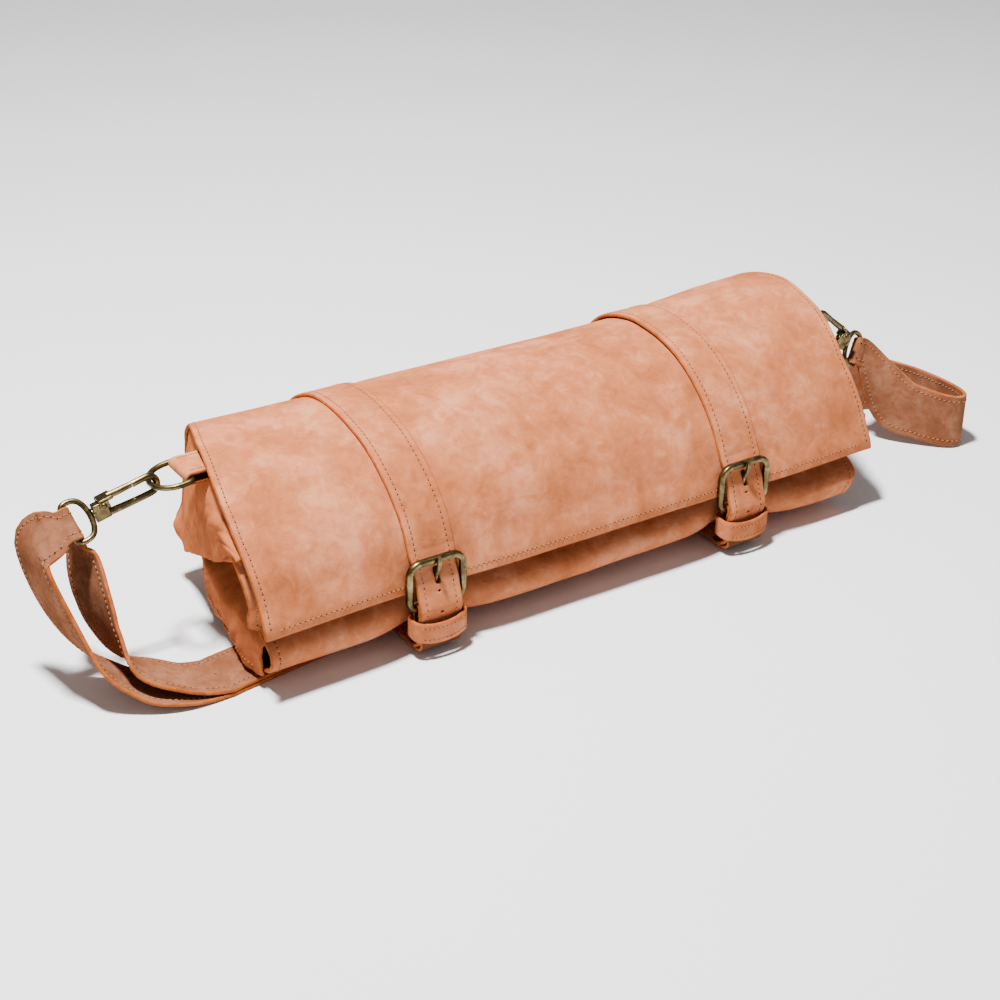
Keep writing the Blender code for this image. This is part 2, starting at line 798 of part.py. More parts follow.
def make_left_loop(matrix):
    """The strand that rises from under the roll, turns over the eye's bar and goes back."""
    along = belt_direction()
    across = Vector((0, 0, 1)).cross(along)
    bar, out, bar_across = eye_wrap(matrix, LEFT_EYE_TURN)
    upper = bar_across.cross(out)
    if upper.z < 0:
        upper = -upper
    reach = EYE_WIRE + GAP + BELT_THICKNESS / 2 + 0.0002
    diagonal = reach * math.sqrt(0.5)
    narrow = 2 * (EYE_HALF_WIDTH - 2 * EYE_WIRE) - 0.002
    low = belt_point(BELT_LEFT[0], BELT_LOWER_Z) - along * 3 * GAP
    high = belt_point(BELT_LEFT[0], BELT_UPPER_Z) - along * 3 * GAP
    stations = [
        (low, across, BELT_WIDTH),
        (low - along * 0.008, across, BELT_WIDTH),
        (low - along * 0.016 + Vector((0, 0, 0.0003)), across, BELT_WIDTH),
        (Vector((-0.2680, -0.0460, 0.0034)), across, BELT_WIDTH),
        (Vector((-0.2880, -0.0365, 0.0085)), (0.0, 1, 0.02), BELT_WIDTH),
        (Vector((-0.3080, -0.0225, 0.0260)), (-0.15, 1, 0.15), BELT_WIDTH),
        (Vector((-0.3215, -0.0065, 0.0565)), (-0.20, 1, 0.10), BELT_WIDTH),
        (Vector((-0.3270, 0.0040, 0.0865)), (-0.10, 1, 0.20), BELT_WIDTH),
        (bar + out * 0.0130 + upper * 0.0060, (0.0, 1, 0.70), BELT_WIDTH * 0.80),
        (bar + out * 0.0050 + upper * (reach + 0.0015), bar_across, narrow),
        (bar + upper * reach, bar_across, narrow),
        (bar + (upper - out) * diagonal, bar_across, narrow),
        (bar - out * reach, bar_across, narrow),
        (bar - out * (reach + 0.0002) - upper * 0.0060, bar_across, narrow),
        (Vector((-0.2980, 0.0080, 0.0800)), (-0.1, 1, 0.70), BELT_WIDTH * 0.80),
        (Vector((-0.2985, -0.0065, 0.0565)), (-0.2, 1, 0.10), BELT_WIDTH),
        (Vector((-0.2955, -0.0160, 0.0360)), (-0.2, 1, 0.10), BELT_WIDTH),
        (Vector((-0.2860, -0.0300, 0.0180)), (-0.1, 1, 0.05), BELT_WIDTH),
        (Vector((-0.2650, -0.0430, 0.0085)), across, BELT_WIDTH),
        (high - along * 0.014 + Vector((0, 0, 0.0004)), across, BELT_WIDTH),
        (high - along * 0.007, across, BELT_WIDTH),
        (high, across, BELT_WIDTH),
    ]
    ribbon("strap_left_loop", stations, BELT_THICKNESS, nubuck("strap_left_loop"), 4)


def slider_reach():
    """Distance from the slider's middle bar to the middle of the leather round it."""
    return SLIDER_BAR * math.sqrt(2) + GAP + BELT_THICKNESS / 2


def make_slider():
    """A flat three-bar slider with the strap's end sewn round its middle bar."""
    half = BELT_WIDTH / 2 + 0.0022
    bar = SLIDER_BAR
    along = belt_direction()
    turn = Matrix.Translation(belt_point(SLIDER_X, SLIDER_Z)) @ Matrix.Rotation(
        math.atan2(along.y, along.x), 4, "Z"
    )
    mat = antique_brass("strap_slider")
    frame = box(
        "strap_slider",
        (-SLIDER_PITCH - bar, -half - 2 * bar, -bar),
        (SLIDER_PITCH + bar, half + 2 * bar, bar),
        mat,
        turn,
    )
    for sign in (-1, 1):
        low, high = sorted((sign * bar, sign * (SLIDER_PITCH - bar)))
        window = box(
            f"slider_window_{sign}", (low, -half, -0.01), (high, half, 0.01), mat, turn
        )
        cut(frame, window)
    reach = slider_reach()
    start = (BELT_RIGHT[0] - SLIDER_X) / along.x + GAP
    line = [(start, BELT_LOWER_Z), (-0.0095, BELT_LOWER_Z + 0.0002)]
    line.append((-0.0040, SLIDER_Z - reach - 0.0002))
    line += [
        (reach * math.sin(a), SLIDER_Z - reach * math.cos(a)) for a in steps(0, math.pi, 8)
    ]
    line.append((-0.0040, SLIDER_Z + reach))
    across = along.cross(Vector((0, 0, 1)))
    stations = [
        (belt_point(SLIDER_X, 0) + along * px + Vector((0, 0, pz)), across, BELT_WIDTH) for px, pz in line
    ]
    ribbon("slider_fold", stations, BELT_THICKNESS, nubuck("slider_fold"), 1)


def make_right_strand(matrix):
    """The long strand: through the slider, round a hairpin, to its sewn end on the right eye."""
    along = belt_direction()
    across = Vector((0, 0, 1)).cross(along)
    high = SLIDER_Z + slider_reach() + BELT_THICKNESS + 0.0010
    middle = belt_point(SLIDER_X, 0)
    start = (BELT_RIGHT[0] - SLIDER_X) / along.x + GAP
    lift = [
        (start, BELT_UPPER_Z),
        (-0.0140, BELT_UPPER_Z + 0.0002),
        (-0.0095, 0.0078),
        (-0.0042, high - 0.0004),
        (0.0, high),
        (0.0042, high - 0.0004),
        (0.0095, 0.0078),
        (0.0140, BELT_UPPER_Z - 0.0002),
        (0.0215, BELT_UPPER_Z - 0.0012),
    ]
    through = [(middle + along * px + Vector((0, 0, pz)), across, BELT_WIDTH) for px, pz in lift]
    ribbon("strap_through_slider", through, BELT_THICKNESS, nubuck("strap_through_slider"), 3)
    stand = BELT_WIDTH / 2 + 0.0020
    bar, out, bar_across = eye_wrap(matrix, RIGHT_EYE_TURN)
    side = out.cross(bar_across)
    if side.y > 0:
        side = -side
    reach = EYE_WIRE + GAP + BELT_THICKNESS / 2 + 0.0002
    diagonal = reach * math.sqrt(0.5)
    narrow = 2 * (EYE_HALF_WIDTH - 2 * EYE_WIRE) - 0.002
    end = through[-1][0] + along * 3 * GAP
    strand = [
        (end, across, BELT_WIDTH),
        (end + along * 0.004, across, BELT_WIDTH),
        (end + along * 0.009 + Vector((0, 0, 0.0008)), across, BELT_WIDTH),
        (Vector((0.3050, 0.0320, 0.0140)), (-0.2, 1, 0.50), BELT_WIDTH),
        (Vector((0.3180, 0.0360, 0.0195)), (-0.3, 0.8, 1.6), BELT_WIDTH),
        (Vector((0.3340, 0.0300, stand)), (0.0, 0.2, 1), BELT_WIDTH),
        (Vector((0.3460, 0.0100, stand)), (0, 0, 1), BELT_WIDTH),
        (Vector((0.3510, -0.0150, stand)), (0, 0, 1), BELT_WIDTH),
        (Vector((0.3515, -0.0380, stand)), (0, 0, 1), BELT_WIDTH),
        (Vector((0.3480, -0.0510, stand)), (0, 0, 1), BELT_WIDTH),
        (Vector((0.3410, -0.0535, stand)), (0, 0, 1), BELT_WIDTH),
        (Vector((0.3320, -0.0480, stand + 0.0010)), (0, 0.02, 1), BELT_WIDTH),
        (Vector((0.3200, -0.0350, stand + 0.0045)), (0.05, 0.05, 1), BELT_WIDTH),
        (Vector((0.3090, -0.0210, stand + 0.0110)), (0.1, 0.1, 1), BELT_WIDTH),
        (bar + out * 0.0080 + side * (reach + 0.0014), bar_across, narrow * 1.15),
        (bar + side * reach, bar_across, narrow),
        (bar + (side - out) * diagonal, bar_across, narrow),
        (bar - out * reach, bar_across, narrow),
        (bar - (side + out) * diagonal, bar_across, narrow),
        (bar - side * reach, bar_across, narrow),
        (bar + out * 0.0050 - side * reach * 0.80, bar_across, narrow),
    ]
    ribbon("strap_right_strand", strand, BELT_THICKNESS, nubuck("strap_right_strand"), 3)


def main():
    for obj in list(bpy.data.objects):
        bpy.data.objects.remove(obj, do_unlink=True)
    make_shell()
    make_inner_panels()
    make_wings()
    make_flap()
    for word, side in (("left", -1), ("right", 1)):
        x = side * STRAP_X
        make_flap_strap(word, x)
        make_billet(word, x)
        make_chape(word, x)
        make_buckle(word, x)
        make_prong(word, x)
        make_keeper(word, x)
        make_tab(word, side)
    left_contact = make_d_ring("left", -1, LEFT_RING_DROOP)
    right_contact = make_d_ring("right", 1, RIGHT_DROOP)
    left = hook_frame(left_contact, -1, LEFT_HOOK_DROOP)
    right = hook_frame(right_contact, 1, RIGHT_DROOP)
    for word, matrix, turn in (("left", left, LEFT_EYE_TURN), ("right", right, RIGHT_EYE_TURN)):
        make_hook(word, matrix)
        make_gate(word, matrix)
        make_rivet(word, matrix)
        make_eye(word, matrix, turn)
    make_belt_under()
    make_left_loop(left)
    make_slider()
    make_right_strand(right)


main()
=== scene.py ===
from math import acos, asin, atan2, copysign, cos, degrees, exp, hypot, pi, radians, sin, sqrt

import bmesh
import bpy
from mathutils import Matrix, Vector, noise


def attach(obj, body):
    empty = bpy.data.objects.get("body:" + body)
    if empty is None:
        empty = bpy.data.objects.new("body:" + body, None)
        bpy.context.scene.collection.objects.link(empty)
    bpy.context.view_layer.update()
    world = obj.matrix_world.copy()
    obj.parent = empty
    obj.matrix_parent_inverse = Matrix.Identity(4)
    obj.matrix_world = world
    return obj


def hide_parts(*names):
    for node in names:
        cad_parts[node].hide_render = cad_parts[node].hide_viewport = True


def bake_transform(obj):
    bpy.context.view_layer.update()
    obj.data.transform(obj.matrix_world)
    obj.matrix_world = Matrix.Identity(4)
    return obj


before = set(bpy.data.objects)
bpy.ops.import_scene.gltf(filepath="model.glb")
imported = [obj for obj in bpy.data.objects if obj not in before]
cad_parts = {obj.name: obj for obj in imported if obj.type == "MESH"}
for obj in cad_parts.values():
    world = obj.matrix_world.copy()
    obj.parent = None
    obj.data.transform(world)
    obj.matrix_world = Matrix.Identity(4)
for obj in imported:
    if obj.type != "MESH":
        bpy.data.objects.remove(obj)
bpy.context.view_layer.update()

# Sizes repeated from the CAD, in metres.
HALF_DEPTH, HALF_HEIGHT, CENTRE_Z = 0.078, 0.062, 0.0625
LEAN, LEAN_EASE, FRONT_SQUARENESS, BACK_SQUARENESS = 0.25, 0.008, 7.0, 3.0
LEATHER, GAP = 0.0028, 0.0003
SHELL_HALF_LENGTH = 0.219
SHELL_BACK_INSET, SHELL_FRONT_INSET, SHELL_BOTTOM_Z = 0.0033, 0.0108, 0.0055
STRAP_X, STRAP_WIDTH = 0.116, 0.03
HEEL_Y, HEEL_Z, TOP_BAR_Y, TOP_BAR_Z, HEEL_RADIUS = -0.0838, 0.031, -0.084, 0.0615, 0.0022
KEEPER_Z, KEEPER_HEIGHT, KEEPER_WALL = 0.02, 0.012, 0.0022
KEEPER_HALF_WIDTH, KEEPER_BACK_Y, KEEPER_FRONT_Y = 0.0164, -0.0793, -0.0905
TAB_Y, RING_BAR_X, RING_BAR_Z, RING_WIRE = 0.002, 0.2335, 0.1143, 0.00175
RING_HALF_WIDTH, RING_DEPTH = 0.0145, 0.021
RING_DROOP = {-1: radians(8), 1: radians(41)}
HOOK_DROOP = {-1: radians(14), 1: radians(41)}
EYE_TURN = {-1: radians(-50), 1: radians(70)}
EYE_BAR_U, EYE_HALF_WIDTH, EYE_WIRE = 0.052, 0.014, 0.00175
BELT_WIDTH, BELT_THICKNESS, BELT_LOWER_Z, BELT_UPPER_Z = 0.038, 0.0024, 0.0012, 0.0039
BELT_LEFT, BELT_RIGHT = (-0.232, -0.045), (0.232, 0.02)
SLIDER_X, SLIDER_Z, SLIDER_BAR, SLIDER_PITCH = 0.256, 0.0068, 0.0011, 0.016
WORDS = {-1: "left", 1: "right"}
# Sizes that only the visual pieces have.
STRAP_THICKNESS, CHAPE_THICKNESS, TAB_THICKNESS, SOFT_THICKNESS = 0.0025, 0.0018, 0.0019, 0.0022
LINING_TURNS, LINING_INSET, LINING_RISE = 1.12, 0.0188, 0.0042
POCKET_TURNS, POCKET_INSET, POCKET_PITCH, POCKET_HALF_LENGTH = 0.62, 0.0278, 0.04, 0.2
RIM = 0.26  # how far a cut edge bulges, as a share of the thickness
STITCH_SIDES = 6
# A stitch's rings: place along it, size and height, as shares of its length and radius.
STITCH_PROFILE = ((-0.4, 0.75, -0.35), (-0.15, 1.0, 0.3), (0.15, 1.0, 0.3), (0.4, 0.75, -0.35))
LEFT_RIGHT = ("left", "right")
# How far the outer panel stands forward of the roll's own section, by height.
PANEL_FORWARD = (
    (0.004, 0.0098), (0.008, 0.0106), (0.014, 0.0108), (0.021, 0.0102), (0.0265, 0.0085), (0.03, 0.0055),
    (0.0325, 0.001), (0.035, -0.0045), (0.038, -0.0068), (0.045, -0.0068), (0.055, 0.0),
)
# Where the flap ends at each end of the roll, by angle in degrees on the section.
FLAP_END = {
    -1: ((-60, -0.2), (0, -0.197), (30, -0.2), (60, -0.2066), (92, -0.2192), (113, -0.2252),
         (130, -0.229), (148, -0.2302), (168, -0.229), (185, -0.2272), (205, -0.225)),
    1: ((-60, 0.216), (0, 0.212), (30, 0.212), (60, 0.217), (90, 0.2245), (119, 0.223),
        (142, 0.2196), (160, 0.2212), (183, 0.2245), (205, 0.2292)),
}
# Where the end wings lie, by y in metres.
WING_END = {
    -1: ((-0.08, -0.2225), (-0.05, -0.2235), (-0.02, -0.22), (0.01, -0.215),
         (0.05, -0.2035), (0.08, -0.1935)),
    1: ((-0.08, 0.2165), (-0.05, 0.213), (-0.02, 0.215), (0.01, 0.217),
        (0.05, 0.211), (0.08, 0.205)),
}


# --- Materials ---


class Surface:
    """A procedural material in the making, on object coordinates."""

    def __init__(self, name, rough, metallic=0.0, sheen=0.0, specular=0.4):
        self.mat = bpy.data.materials.new(name)
        self.mat.use_nodes = True
        self.tree = self.mat.node_tree
        self.sockets = self.tree.nodes["Principled BSDF"].inputs
        for socket, value in (("Roughness", rough), ("Metallic", metallic), ("Sheen Weight", sheen),
                              ("Sheen Roughness", 0.45), ("Specular IOR Level", specular)):
            self.sockets[socket].default_value = value
        if not metallic:
            self.sockets["Specular Tint"].default_value = (1.0, 0.58, 0.36, 1.0)
        self.coords = self.node("ShaderNodeTexCoord").outputs["Object"]

    def node(self, kind, **values):
        """A shader node with its inputs and properties set by name."""
        item = self.tree.nodes.new(kind)
        for key, value in values.items():
            if key in item.inputs:
                item.inputs[key].default_value = value
            else:
                setattr(item, key, value)
        return item

    def link(self, value, socket):
        self.tree.links.new(value, socket)

    def texture(self, kind, output, **values):
        item = self.node(kind, **values)
        self.link(self.coords, item.inputs["Vector"])
        return item.outputs[output]

    def noise(self, scale, detail=4.0, rough=0.55, distortion=0.0):
        values = {"Scale": scale, "Detail": detail, "Roughness": rough, "Distortion": distortion}
        return self.texture("ShaderNodeTexNoise", "Fac", **values)

    def ramp(self, value, stops):
        """A colour ramp through (position, colour) stops."""
        item = self.node("ShaderNodeValToRGB")
        elements = item.color_ramp.elements
        while len(elements) < len(stops):
            elements.new(0.5)
        for element, (position, colour) in zip(elements, stops):
            element.position = position
            element.color = (*colour, 1.0)
        self.link(value, item.inputs["Fac"])
        return item.outputs["Color"]

    def multiply(self, amount, first, second):
        """The first colour darkened or lightened by the second."""
        item = self.node("ShaderNodeMix", data_type="RGBA", blend_type="MULTIPLY")
        item.inputs["Factor"].default_value = amount
        self.link(first, item.inputs["A"])
        self.link(second, item.inputs["B"])
        return item.outputs["Result"]

    def arithmetic(self, operation, first, second):
        item = self.node("ShaderNodeMath", operation=operation)
        for socket, value in zip(item.inputs, (first, second)):
            if isinstance(value, float):
                socket.default_value = value
            else:
                self.link(value, socket)
        return item.outputs["Value"]

    def bump(self, *layers):
        """Stack bump layers of (height, distance, strength), finest last."""
        normal = None
        for height, distance, strength in layers:
            item = self.node("ShaderNodeBump", Strength=strength, Distance=distance)
            self.link(height, item.inputs["Height"])
            if normal is not None:
                self.link(normal, item.inputs["Normal"])
            normal = item.outputs["Normal"]
        self.link(normal, self.sockets["Normal"])

    def finish(self, colour):
        self.link(colour, self.sockets["Base Color"])
        return self.mat


def nubuck(name, dark, middle, light, rough=0.86, blotch=26.0):
    """Napped leather: broad pale and ochre clouds, small scuffs and a fine nap."""
    skin = Surface(name, rough, specular=0.0)
    broad = skin.arithmetic("MULTIPLY", skin.noise(blotch, 5.0, 0.6, 0.5), 0.62)
    medium = skin.arithmetic("MULTIPLY", skin.noise(blotch * 3.6, 6.0, 0.62, 0.9), 0.38)
    cloud = skin.arithmetic("ADD", broad, medium)
    base = skin.ramp(cloud, ((0.36, dark), (0.5, middle), (0.63, light)))
    nap = skin.noise(1500.0, 3.0, 0.7)
    colour = skin.multiply(1.0, base, skin.ramp(nap, ((0.25, (0.83, 0.82, 0.81)), (0.75, WHITE))))
    scuff = skin.noise(150.0, 8.0, 0.72, 1.8)
    colour = skin.multiply(0.8, colour, skin.ramp(scuff, ((0.55, WHITE), (0.74, (1.22, 1.2, 1.18)))))
    crease = skin.noise(90.0, 5.0, 0.6, 1.2)
    skin.bump((crease, 0.001, 0.35), (scuff, 0.0004, 0.35), (nap, 0.00022, 0.45))
    return skin.finish(colour)


def smooth_leather(name, dark, light, rough=0.52, scale=40.0):
    """Smooth drummed leather with soft tone changes and a fine pebble grain."""
    skin = Surface(name, rough, specular=0.0)
    base = skin.ramp(skin.noise(scale, 5.0, 0.6, 0.6), ((0.35, dark), (0.65, light)))
    pebble = skin.texture("ShaderNodeTexVoronoi", "Distance", Scale=950.0)
    fine = skin.noise(700.0, 4.0, 0.6)
    speck = skin.ramp(fine, ((0.3, (0.86, 0.84, 0.82)), (0.7, WHITE)))
    crease = skin.noise(110.0, 4.0, 0.6, 1.5)
    skin.bump((crease, 0.0012, 0.4), (pebble, 0.0002, 0.35), (fine, 0.0002, 0.3))
    return skin.finish(skin.multiply(1.0, base, speck))


def thread(name, colour):
    """Waxed thread, with painted shade darkening the grooves between its plies."""
    skin = Surface(name, 0.7, sheen=0.2, specular=0.3)
    ply = skin.texture("ShaderNodeTexWave", "Fac", Scale=900.0, Distortion=1.0)
    skin.bump((ply, 0.0001, 0.5))
    # The darker ramp stop is painted shade in the grooves between the plies.
    return skin.finish(skin.ramp(ply, ((0.2, tuple(c * 0.62 for c in colour)), (0.8, colour))))


def antique_brass(name):
    """Rubbed brass with brown patina in soft patches and fine brushing."""
    metal = Surface(name, 0.34, metallic=1.0)
    patina = metal.noise(130.0, 6.0, 0.6, 0.8)
    tones = ((0.34, (0.045, 0.033, 0.014)), (0.52, (0.125, 0.092, 0.038)), (0.7, (0.27, 0.205, 0.088)))
    fine = metal.noise(1600.0, 4.0, 0.6)
    rough = metal.arithmetic("ADD", metal.arithmetic("MULTIPLY", fine, 0.22), 0.22)
    metal.link(rough, metal.sockets["Roughness"])
    metal.bump((patina, 0.0003, 0.25), (fine, 0.00005, 0.3))
    return metal.finish(metal.ramp(patina, tones))


WHITE = (1.0, 1.0, 1.0)
TAN = nubuck("tan_nubuck", (0.345, 0.098, 0.034), (0.465, 0.145, 0.058), (0.585, 0.225, 0.112))
BELT_TAN = nubuck(
    "belt_nubuck", (0.138, 0.048, 0.022), (0.195, 0.071, 0.034), (0.265, 0.112, 0.06), blotch=34.0
)
EDGE = smooth_leather("burnished_edge", (0.27, 0.068, 0.018), (0.42, 0.115, 0.032), 0.5, 130.0)
SUEDE = nubuck(
    "suede_back", (0.09, 0.032, 0.014), (0.13, 0.05, 0.023), (0.175, 0.074, 0.037), 0.92, 60.0
)
ORANGE = smooth_leather("orange_leather", (0.34, 0.09, 0.03), (0.52, 0.155, 0.056), 0.55)
LINING = nubuck("roll_lining", (0.26, 0.115, 0.06), (0.34, 0.165, 0.09), (0.42, 0.225, 0.135), 0.85, 40.0)
# Near-black painted shade for the needle holes between stitches.
HOLE_SHADE = smooth_leather("needle_hole_shade", (0.03, 0.01, 0.004), (0.06, 0.02, 0.008), 0.8)
THREAD = thread("waxed_thread", (0.42, 0.15, 0.05))
BRASS = antique_brass("antique_brass_patina")
LEATHERS = [TAN, EDGE, SUEDE, THREAD, HOLE_SHADE]
BELT_LEATHERS = [BELT_TAN, EDGE, BELT_TAN, THREAD, HOLE_SHADE]
WING_LEATHERS = [ORANGE, EDGE, SUEDE, THREAD, HOLE_SHADE]
LINING_LEATHERS = [LINING, EDGE, LINING, THREAD, HOLE_SHADE]


# --- Shapes ---


def outline(inset, t):
    """Point (y, z) at angle t on the roll's section; 0 is the back, 90 degrees the top."""
    c, s = cos(t), sin(t)
    if s < 0:
        power = FRONT_SQUARENESS if c < 0 else BACK_SQUARENESS
        square = (abs(c) ** power + abs(s) ** power) ** (-1 / power)
        c *= square
        s *= square
    z = CENTRE_Z + (HALF_HEIGHT - inset) * s
    rise = z - CENTRE_Z
    if rise < 0:
        rise = LEAN_EASE * (exp(rise / LEAN_EASE) - 1)
    return (HALF_DEPTH - inset) * c + LEAN * rise, z


def angle_at_height(z, front):
    down = (CENTRE_Z - z) / HALF_HEIGHT
    power = FRONT_SQUARENESS if front else BACK_SQUARENESS
    angle = atan2(down, (1 - down**power) ** (1 / power))
    return pi + angle if front else -angle


def shell_inset(t):
    span = SHELL_FRONT_INSET - SHELL_BACK_INSET
    if sin(t) >= 0:
        return SHELL_BACK_INSET + span * (1 - cos(t)) / 2
    return SHELL_BACK_INSET + span * max(0.0, -cos(t))


def steps(first, last, count):
    return [first + (last - first) * i / count for i in range(count + 1)]


def spread(first, last, count, edge=0.0007):
    """Even steps with one extra close to each end, so that an edge stays crisp."""
    sign = 1 if last > first else -1
    middle = steps(first, last, count)
    return [first, first + sign * edge, *middle[1:-1], last - sign * edge, last]


def ease(value):
    value = min(max(value, 0.0), 1.0)
    return value * value * (3 - 2 * value)


def table(value, pairs):
    """The value that a table of pairs gives, straight between its entries."""
    if value <= pairs[0][0]:
        return pairs[0][1]
    for (a, b), (c, d) in zip(pairs, pairs[1:]):
        if value <= c:
            return b + (d - b) * (value - a) / (c - a)
    return pairs[-1][1]


def smooth_line(points, per_span=5):
    """A Catmull-Rom curve through points of any dimension."""
    ends = [points[0], *points, points[-1]]
    line = []
    for i in range(len(points) - 1):
        p0, p1, p2, p3 = (Vector(p) for p in ends[i : i + 4])
        for k in range(per_span):
            t = k / per_span
            value = p1 * 2 + (p2 - p0) * t
            value += (p0 * 2 - p1 * 5 + p2 * 4 - p3) * t * t
            value += (p1 * 3 - p0 - p2 * 3 + p3) * t * t * t
            line.append(value / 2)
    line.append(Vector(points[-1]))
    return line


def near_strap(x, width):
    """1 in the middle of a closure strap, falling away over a width."""
    return exp(-(((abs(x) - STRAP_X) / width) ** 2))


def swell(x, t):
    """How far the leather stands off its plain section: soft waves, drawn in by the straps."""
    c, s = cos(t), sin(t)
    value = 0.0016 * noise.noise(Vector((x * 8.0, c * 1.4, s * 1.4 + 5.0)))
    value += 0.0005 * noise.noise(Vector((x * 30.0, c * 4.0, s * 4.0)))
    crown = 0.0085 * ease((x - 0.075) / 0.13) * max(0.0, s) ** 1.6
    return value - 0.0011 * near_strap(x, 0.02) + crown


def roll_point(x, t, inset, floor=0.0, waves=1.0):
    y, z = outline(inset, t)
    y0, z0 = outline(inset, t - 0.01)
    y1, z1 = outline(inset, t + 0.01)
    length = hypot(y1 - y0, z1 - z0)
    lift = swell(x, t) * waves
    return Vector((x, y + (z1 - z0) / length * lift, max(z - (y1 - y0) / length * lift, floor)))


class Panel:
    """A leather sheet through a grid of points, with rounded edges and stitches."""

    def __init__(self, grid, thickness, outside=0.0, closed=False, flip=False):
        self.grid, self.closed = grid, closed
        self.rows, self.cols = len(grid), len(grid[0])
        self.thickness, self.outside = thickness, outside
        self.sign = -1 if flip else 1
        self.normals = [[self.normal(i, j) for j in range(self.cols)] for i in range(self.rows)]
        self.bm = bmesh.new()
        self.threads = bmesh.new()
        self.build()

    def along(self, i, j):
        if self.closed:
            return self.grid[(i + 1) % self.rows][j] - self.grid[i - 1][j]
        return self.grid[min(i + 1, self.rows - 1)][j] - self.grid[max(i - 1, 0)][j]

    def across(self, i, j):
        return self.grid[i][min(j + 1, self.cols - 1)] - self.grid[i][max(j - 1, 0)]

    def normal(self, i, j):
        return self.along(i, j).cross(self.across(i, j)).normalized() * self.sign

    def face(self, verts, slot):
        self.bm.faces.new(verts).material_index = slot

    def layer(self, height):
        """Vertices for the whole grid, raised along the normals."""
        rows = zip(self.grid, self.normals)
        return [[self.bm.verts.new(p + n * height) for p, n in zip(*row)] for row in rows]

    def build(self):
        rows, cols = self.rows, self.cols
        above, below = self.outside, self.thickness - self.outside
        top, low = self.layer(above), self.layer(-below)
        last = rows if self.closed else rows - 1
        for i in range(last):
            k = (i + 1) % rows
            for j in range(cols - 1):
                self.face((top[i][j], top[k][j], top[k][j + 1], top[i][j + 1]), 0)
                self.face((low[i][j + 1], low[k][j + 1], low[k][j], low[i][j]), 2)
        if self.closed:
            loops = [[(i, 0) for i in range(rows)], [(i, cols - 1) for i in reversed(range(rows))]]
        else:
            loop = [(0, j) for j in range(cols)] + [(i, cols - 1) for i in range(1, rows)]
            loop += [(rows - 1, j) for j in reversed(range(cols - 1))]
            loop += [(i, 0) for i in reversed(range(1, rows - 1))]
            loops = [loop]
        for loop in loops:
            self.build_rim(loop, top, low)

    def build_rim(self, loop, top, low):
        rings = []
        for i, j in loop:
            out = Vector()
            if j in (0, self.cols - 1):
                out += self.across(i, j).normalized() * (-1 if j == 0 else 1)
            if not self.closed and i in (0, self.rows - 1):
                out += self.along(i, j).normalized() * (-1 if i == 0 else 1)
            out = out.normalized() * self.thickness * RIM
            a, b = top[i][j].co, low[i][j].co
            near = self.bm.verts.new(a.lerp(b, 0.2) + out)
            far = self.bm.verts.new(a.lerp(b, 0.8) + out)
            rings.append((top[i][j], near, far, low[i][j]))
        for ring, following in zip(rings, rings[1:] + rings[:1]):
            for k in range(3):
                self.face((ring[k], ring[k + 1], following[k + 1], following[k]), 1)

    def inset_path(self, side, inset, first=0.0, last=1.0):
        """Points and normals of a line that runs a set distance inside one edge."""
        path = []
        swap = side in ("start", "end")
        count = self.cols if swap else self.rows
        depth = self.rows if swap else self.cols
        order = range(depth) if side in ("left", "start") else range(depth - 1, -1, -1)
        for n in range(int(first * (count - 1)), int(last * (count - 1)) + 1):
            line = [(k, n) if swap else (n, k) for k in order]
            travelled = 0.0
            for (a, b), (c, d) in zip(line, line[1:]):
                p, q = self.grid[a][b], self.grid[c][d]
                step = (q - p).length
                if travelled + step >= inset:
                    share = (inset - travelled) / step
                    path.append((p.lerp(q, share), self.normals[a][b].lerp(self.normals[c][d], share)))
                    break
                travelled += step
        return path

    def stitch(self, path, trim=0.0, pitch=0.0034, length=0.0023, radius=0.00038, lift=None):
        """Sew raised stitches along a path, leaving its two ends bare by the trim."""
        lift = self.outside if lift is None else lift
        total = sum((q[0] - p[0]).length for p, q in zip(path, path[1:]))
        count = int((total - 2 * trim) / pitch)
        targets = [trim + (k + 0.5) * pitch for k in range(count)]
        travelled = 0.0
        for (p, pn), (q, qn) in zip(path, path[1:]):
            step = (q - p).length
            while targets and travelled + step >= targets[0]:
                share = (targets.pop(0) - travelled) / step
                normal = pn.lerp(qn, share).normalized()
                along = (q - p).normalized()
                centre = p.lerp(q, share) + normal * lift
                self.one_stitch(centre, along, normal, length, radius)
                self.needle_hole_shade(centre + along * pitch / 2, along, normal, radius)
            travelled += step

    def stitch_sides(self, inset, trim, first=0.0, last=1.0, **size):
        for side in LEFT_RIGHT:
            self.stitch(self.inset_path(side, inset, first, last), trim=trim, **size)

    def thread_ring(self, centre, first, second, size):
        angles = [2 * pi * k / STITCH_SIDES for k in range(STITCH_SIDES)]
        return [self.threads.verts.new(centre + (first * cos(a) + second * sin(a)) * size) for a in angles]

    def thread_face(self, verts, slot):
        self.threads.faces.new(verts).material_index = slot

    def one_stitch(self, centre, along, normal, length, radius):
        """A raised stitch that dips into the leather at both ends."""
        side = normal.cross(along)
        rings = []
        for share, size, height in STITCH_PROFILE:
            middle = centre + along * share * length + normal * height * radius
            rings.append(self.thread_ring(middle, side, normal, size * radius))
        for ring, following in zip(rings, rings[1:]):
            for k in range(STITCH_SIDES):
                m = (k + 1) % STITCH_SIDES
                self.thread_face((ring[k], ring[m], following[m], following[k]), 3)
        self.thread_face(list(reversed(rings[0])), 3)
        self.thread_face(rings[-1], 3)

    def needle_hole_shade(self, centre, along, normal, radius):
        """The small dimple between two stitches, painted near-black as the shade in its needle hole."""
        side = normal.cross(along)
        top = self.threads.verts.new(centre + normal * 0.0001)
        ring = self.thread_ring(centre, side * 1.25, along * 1.55, radius)
        for k in range(STITCH_SIDES):
            self.thread_face((ring[k - 1], ring[k], top), 4)
        self.thread_face(list(reversed(ring)), 4)

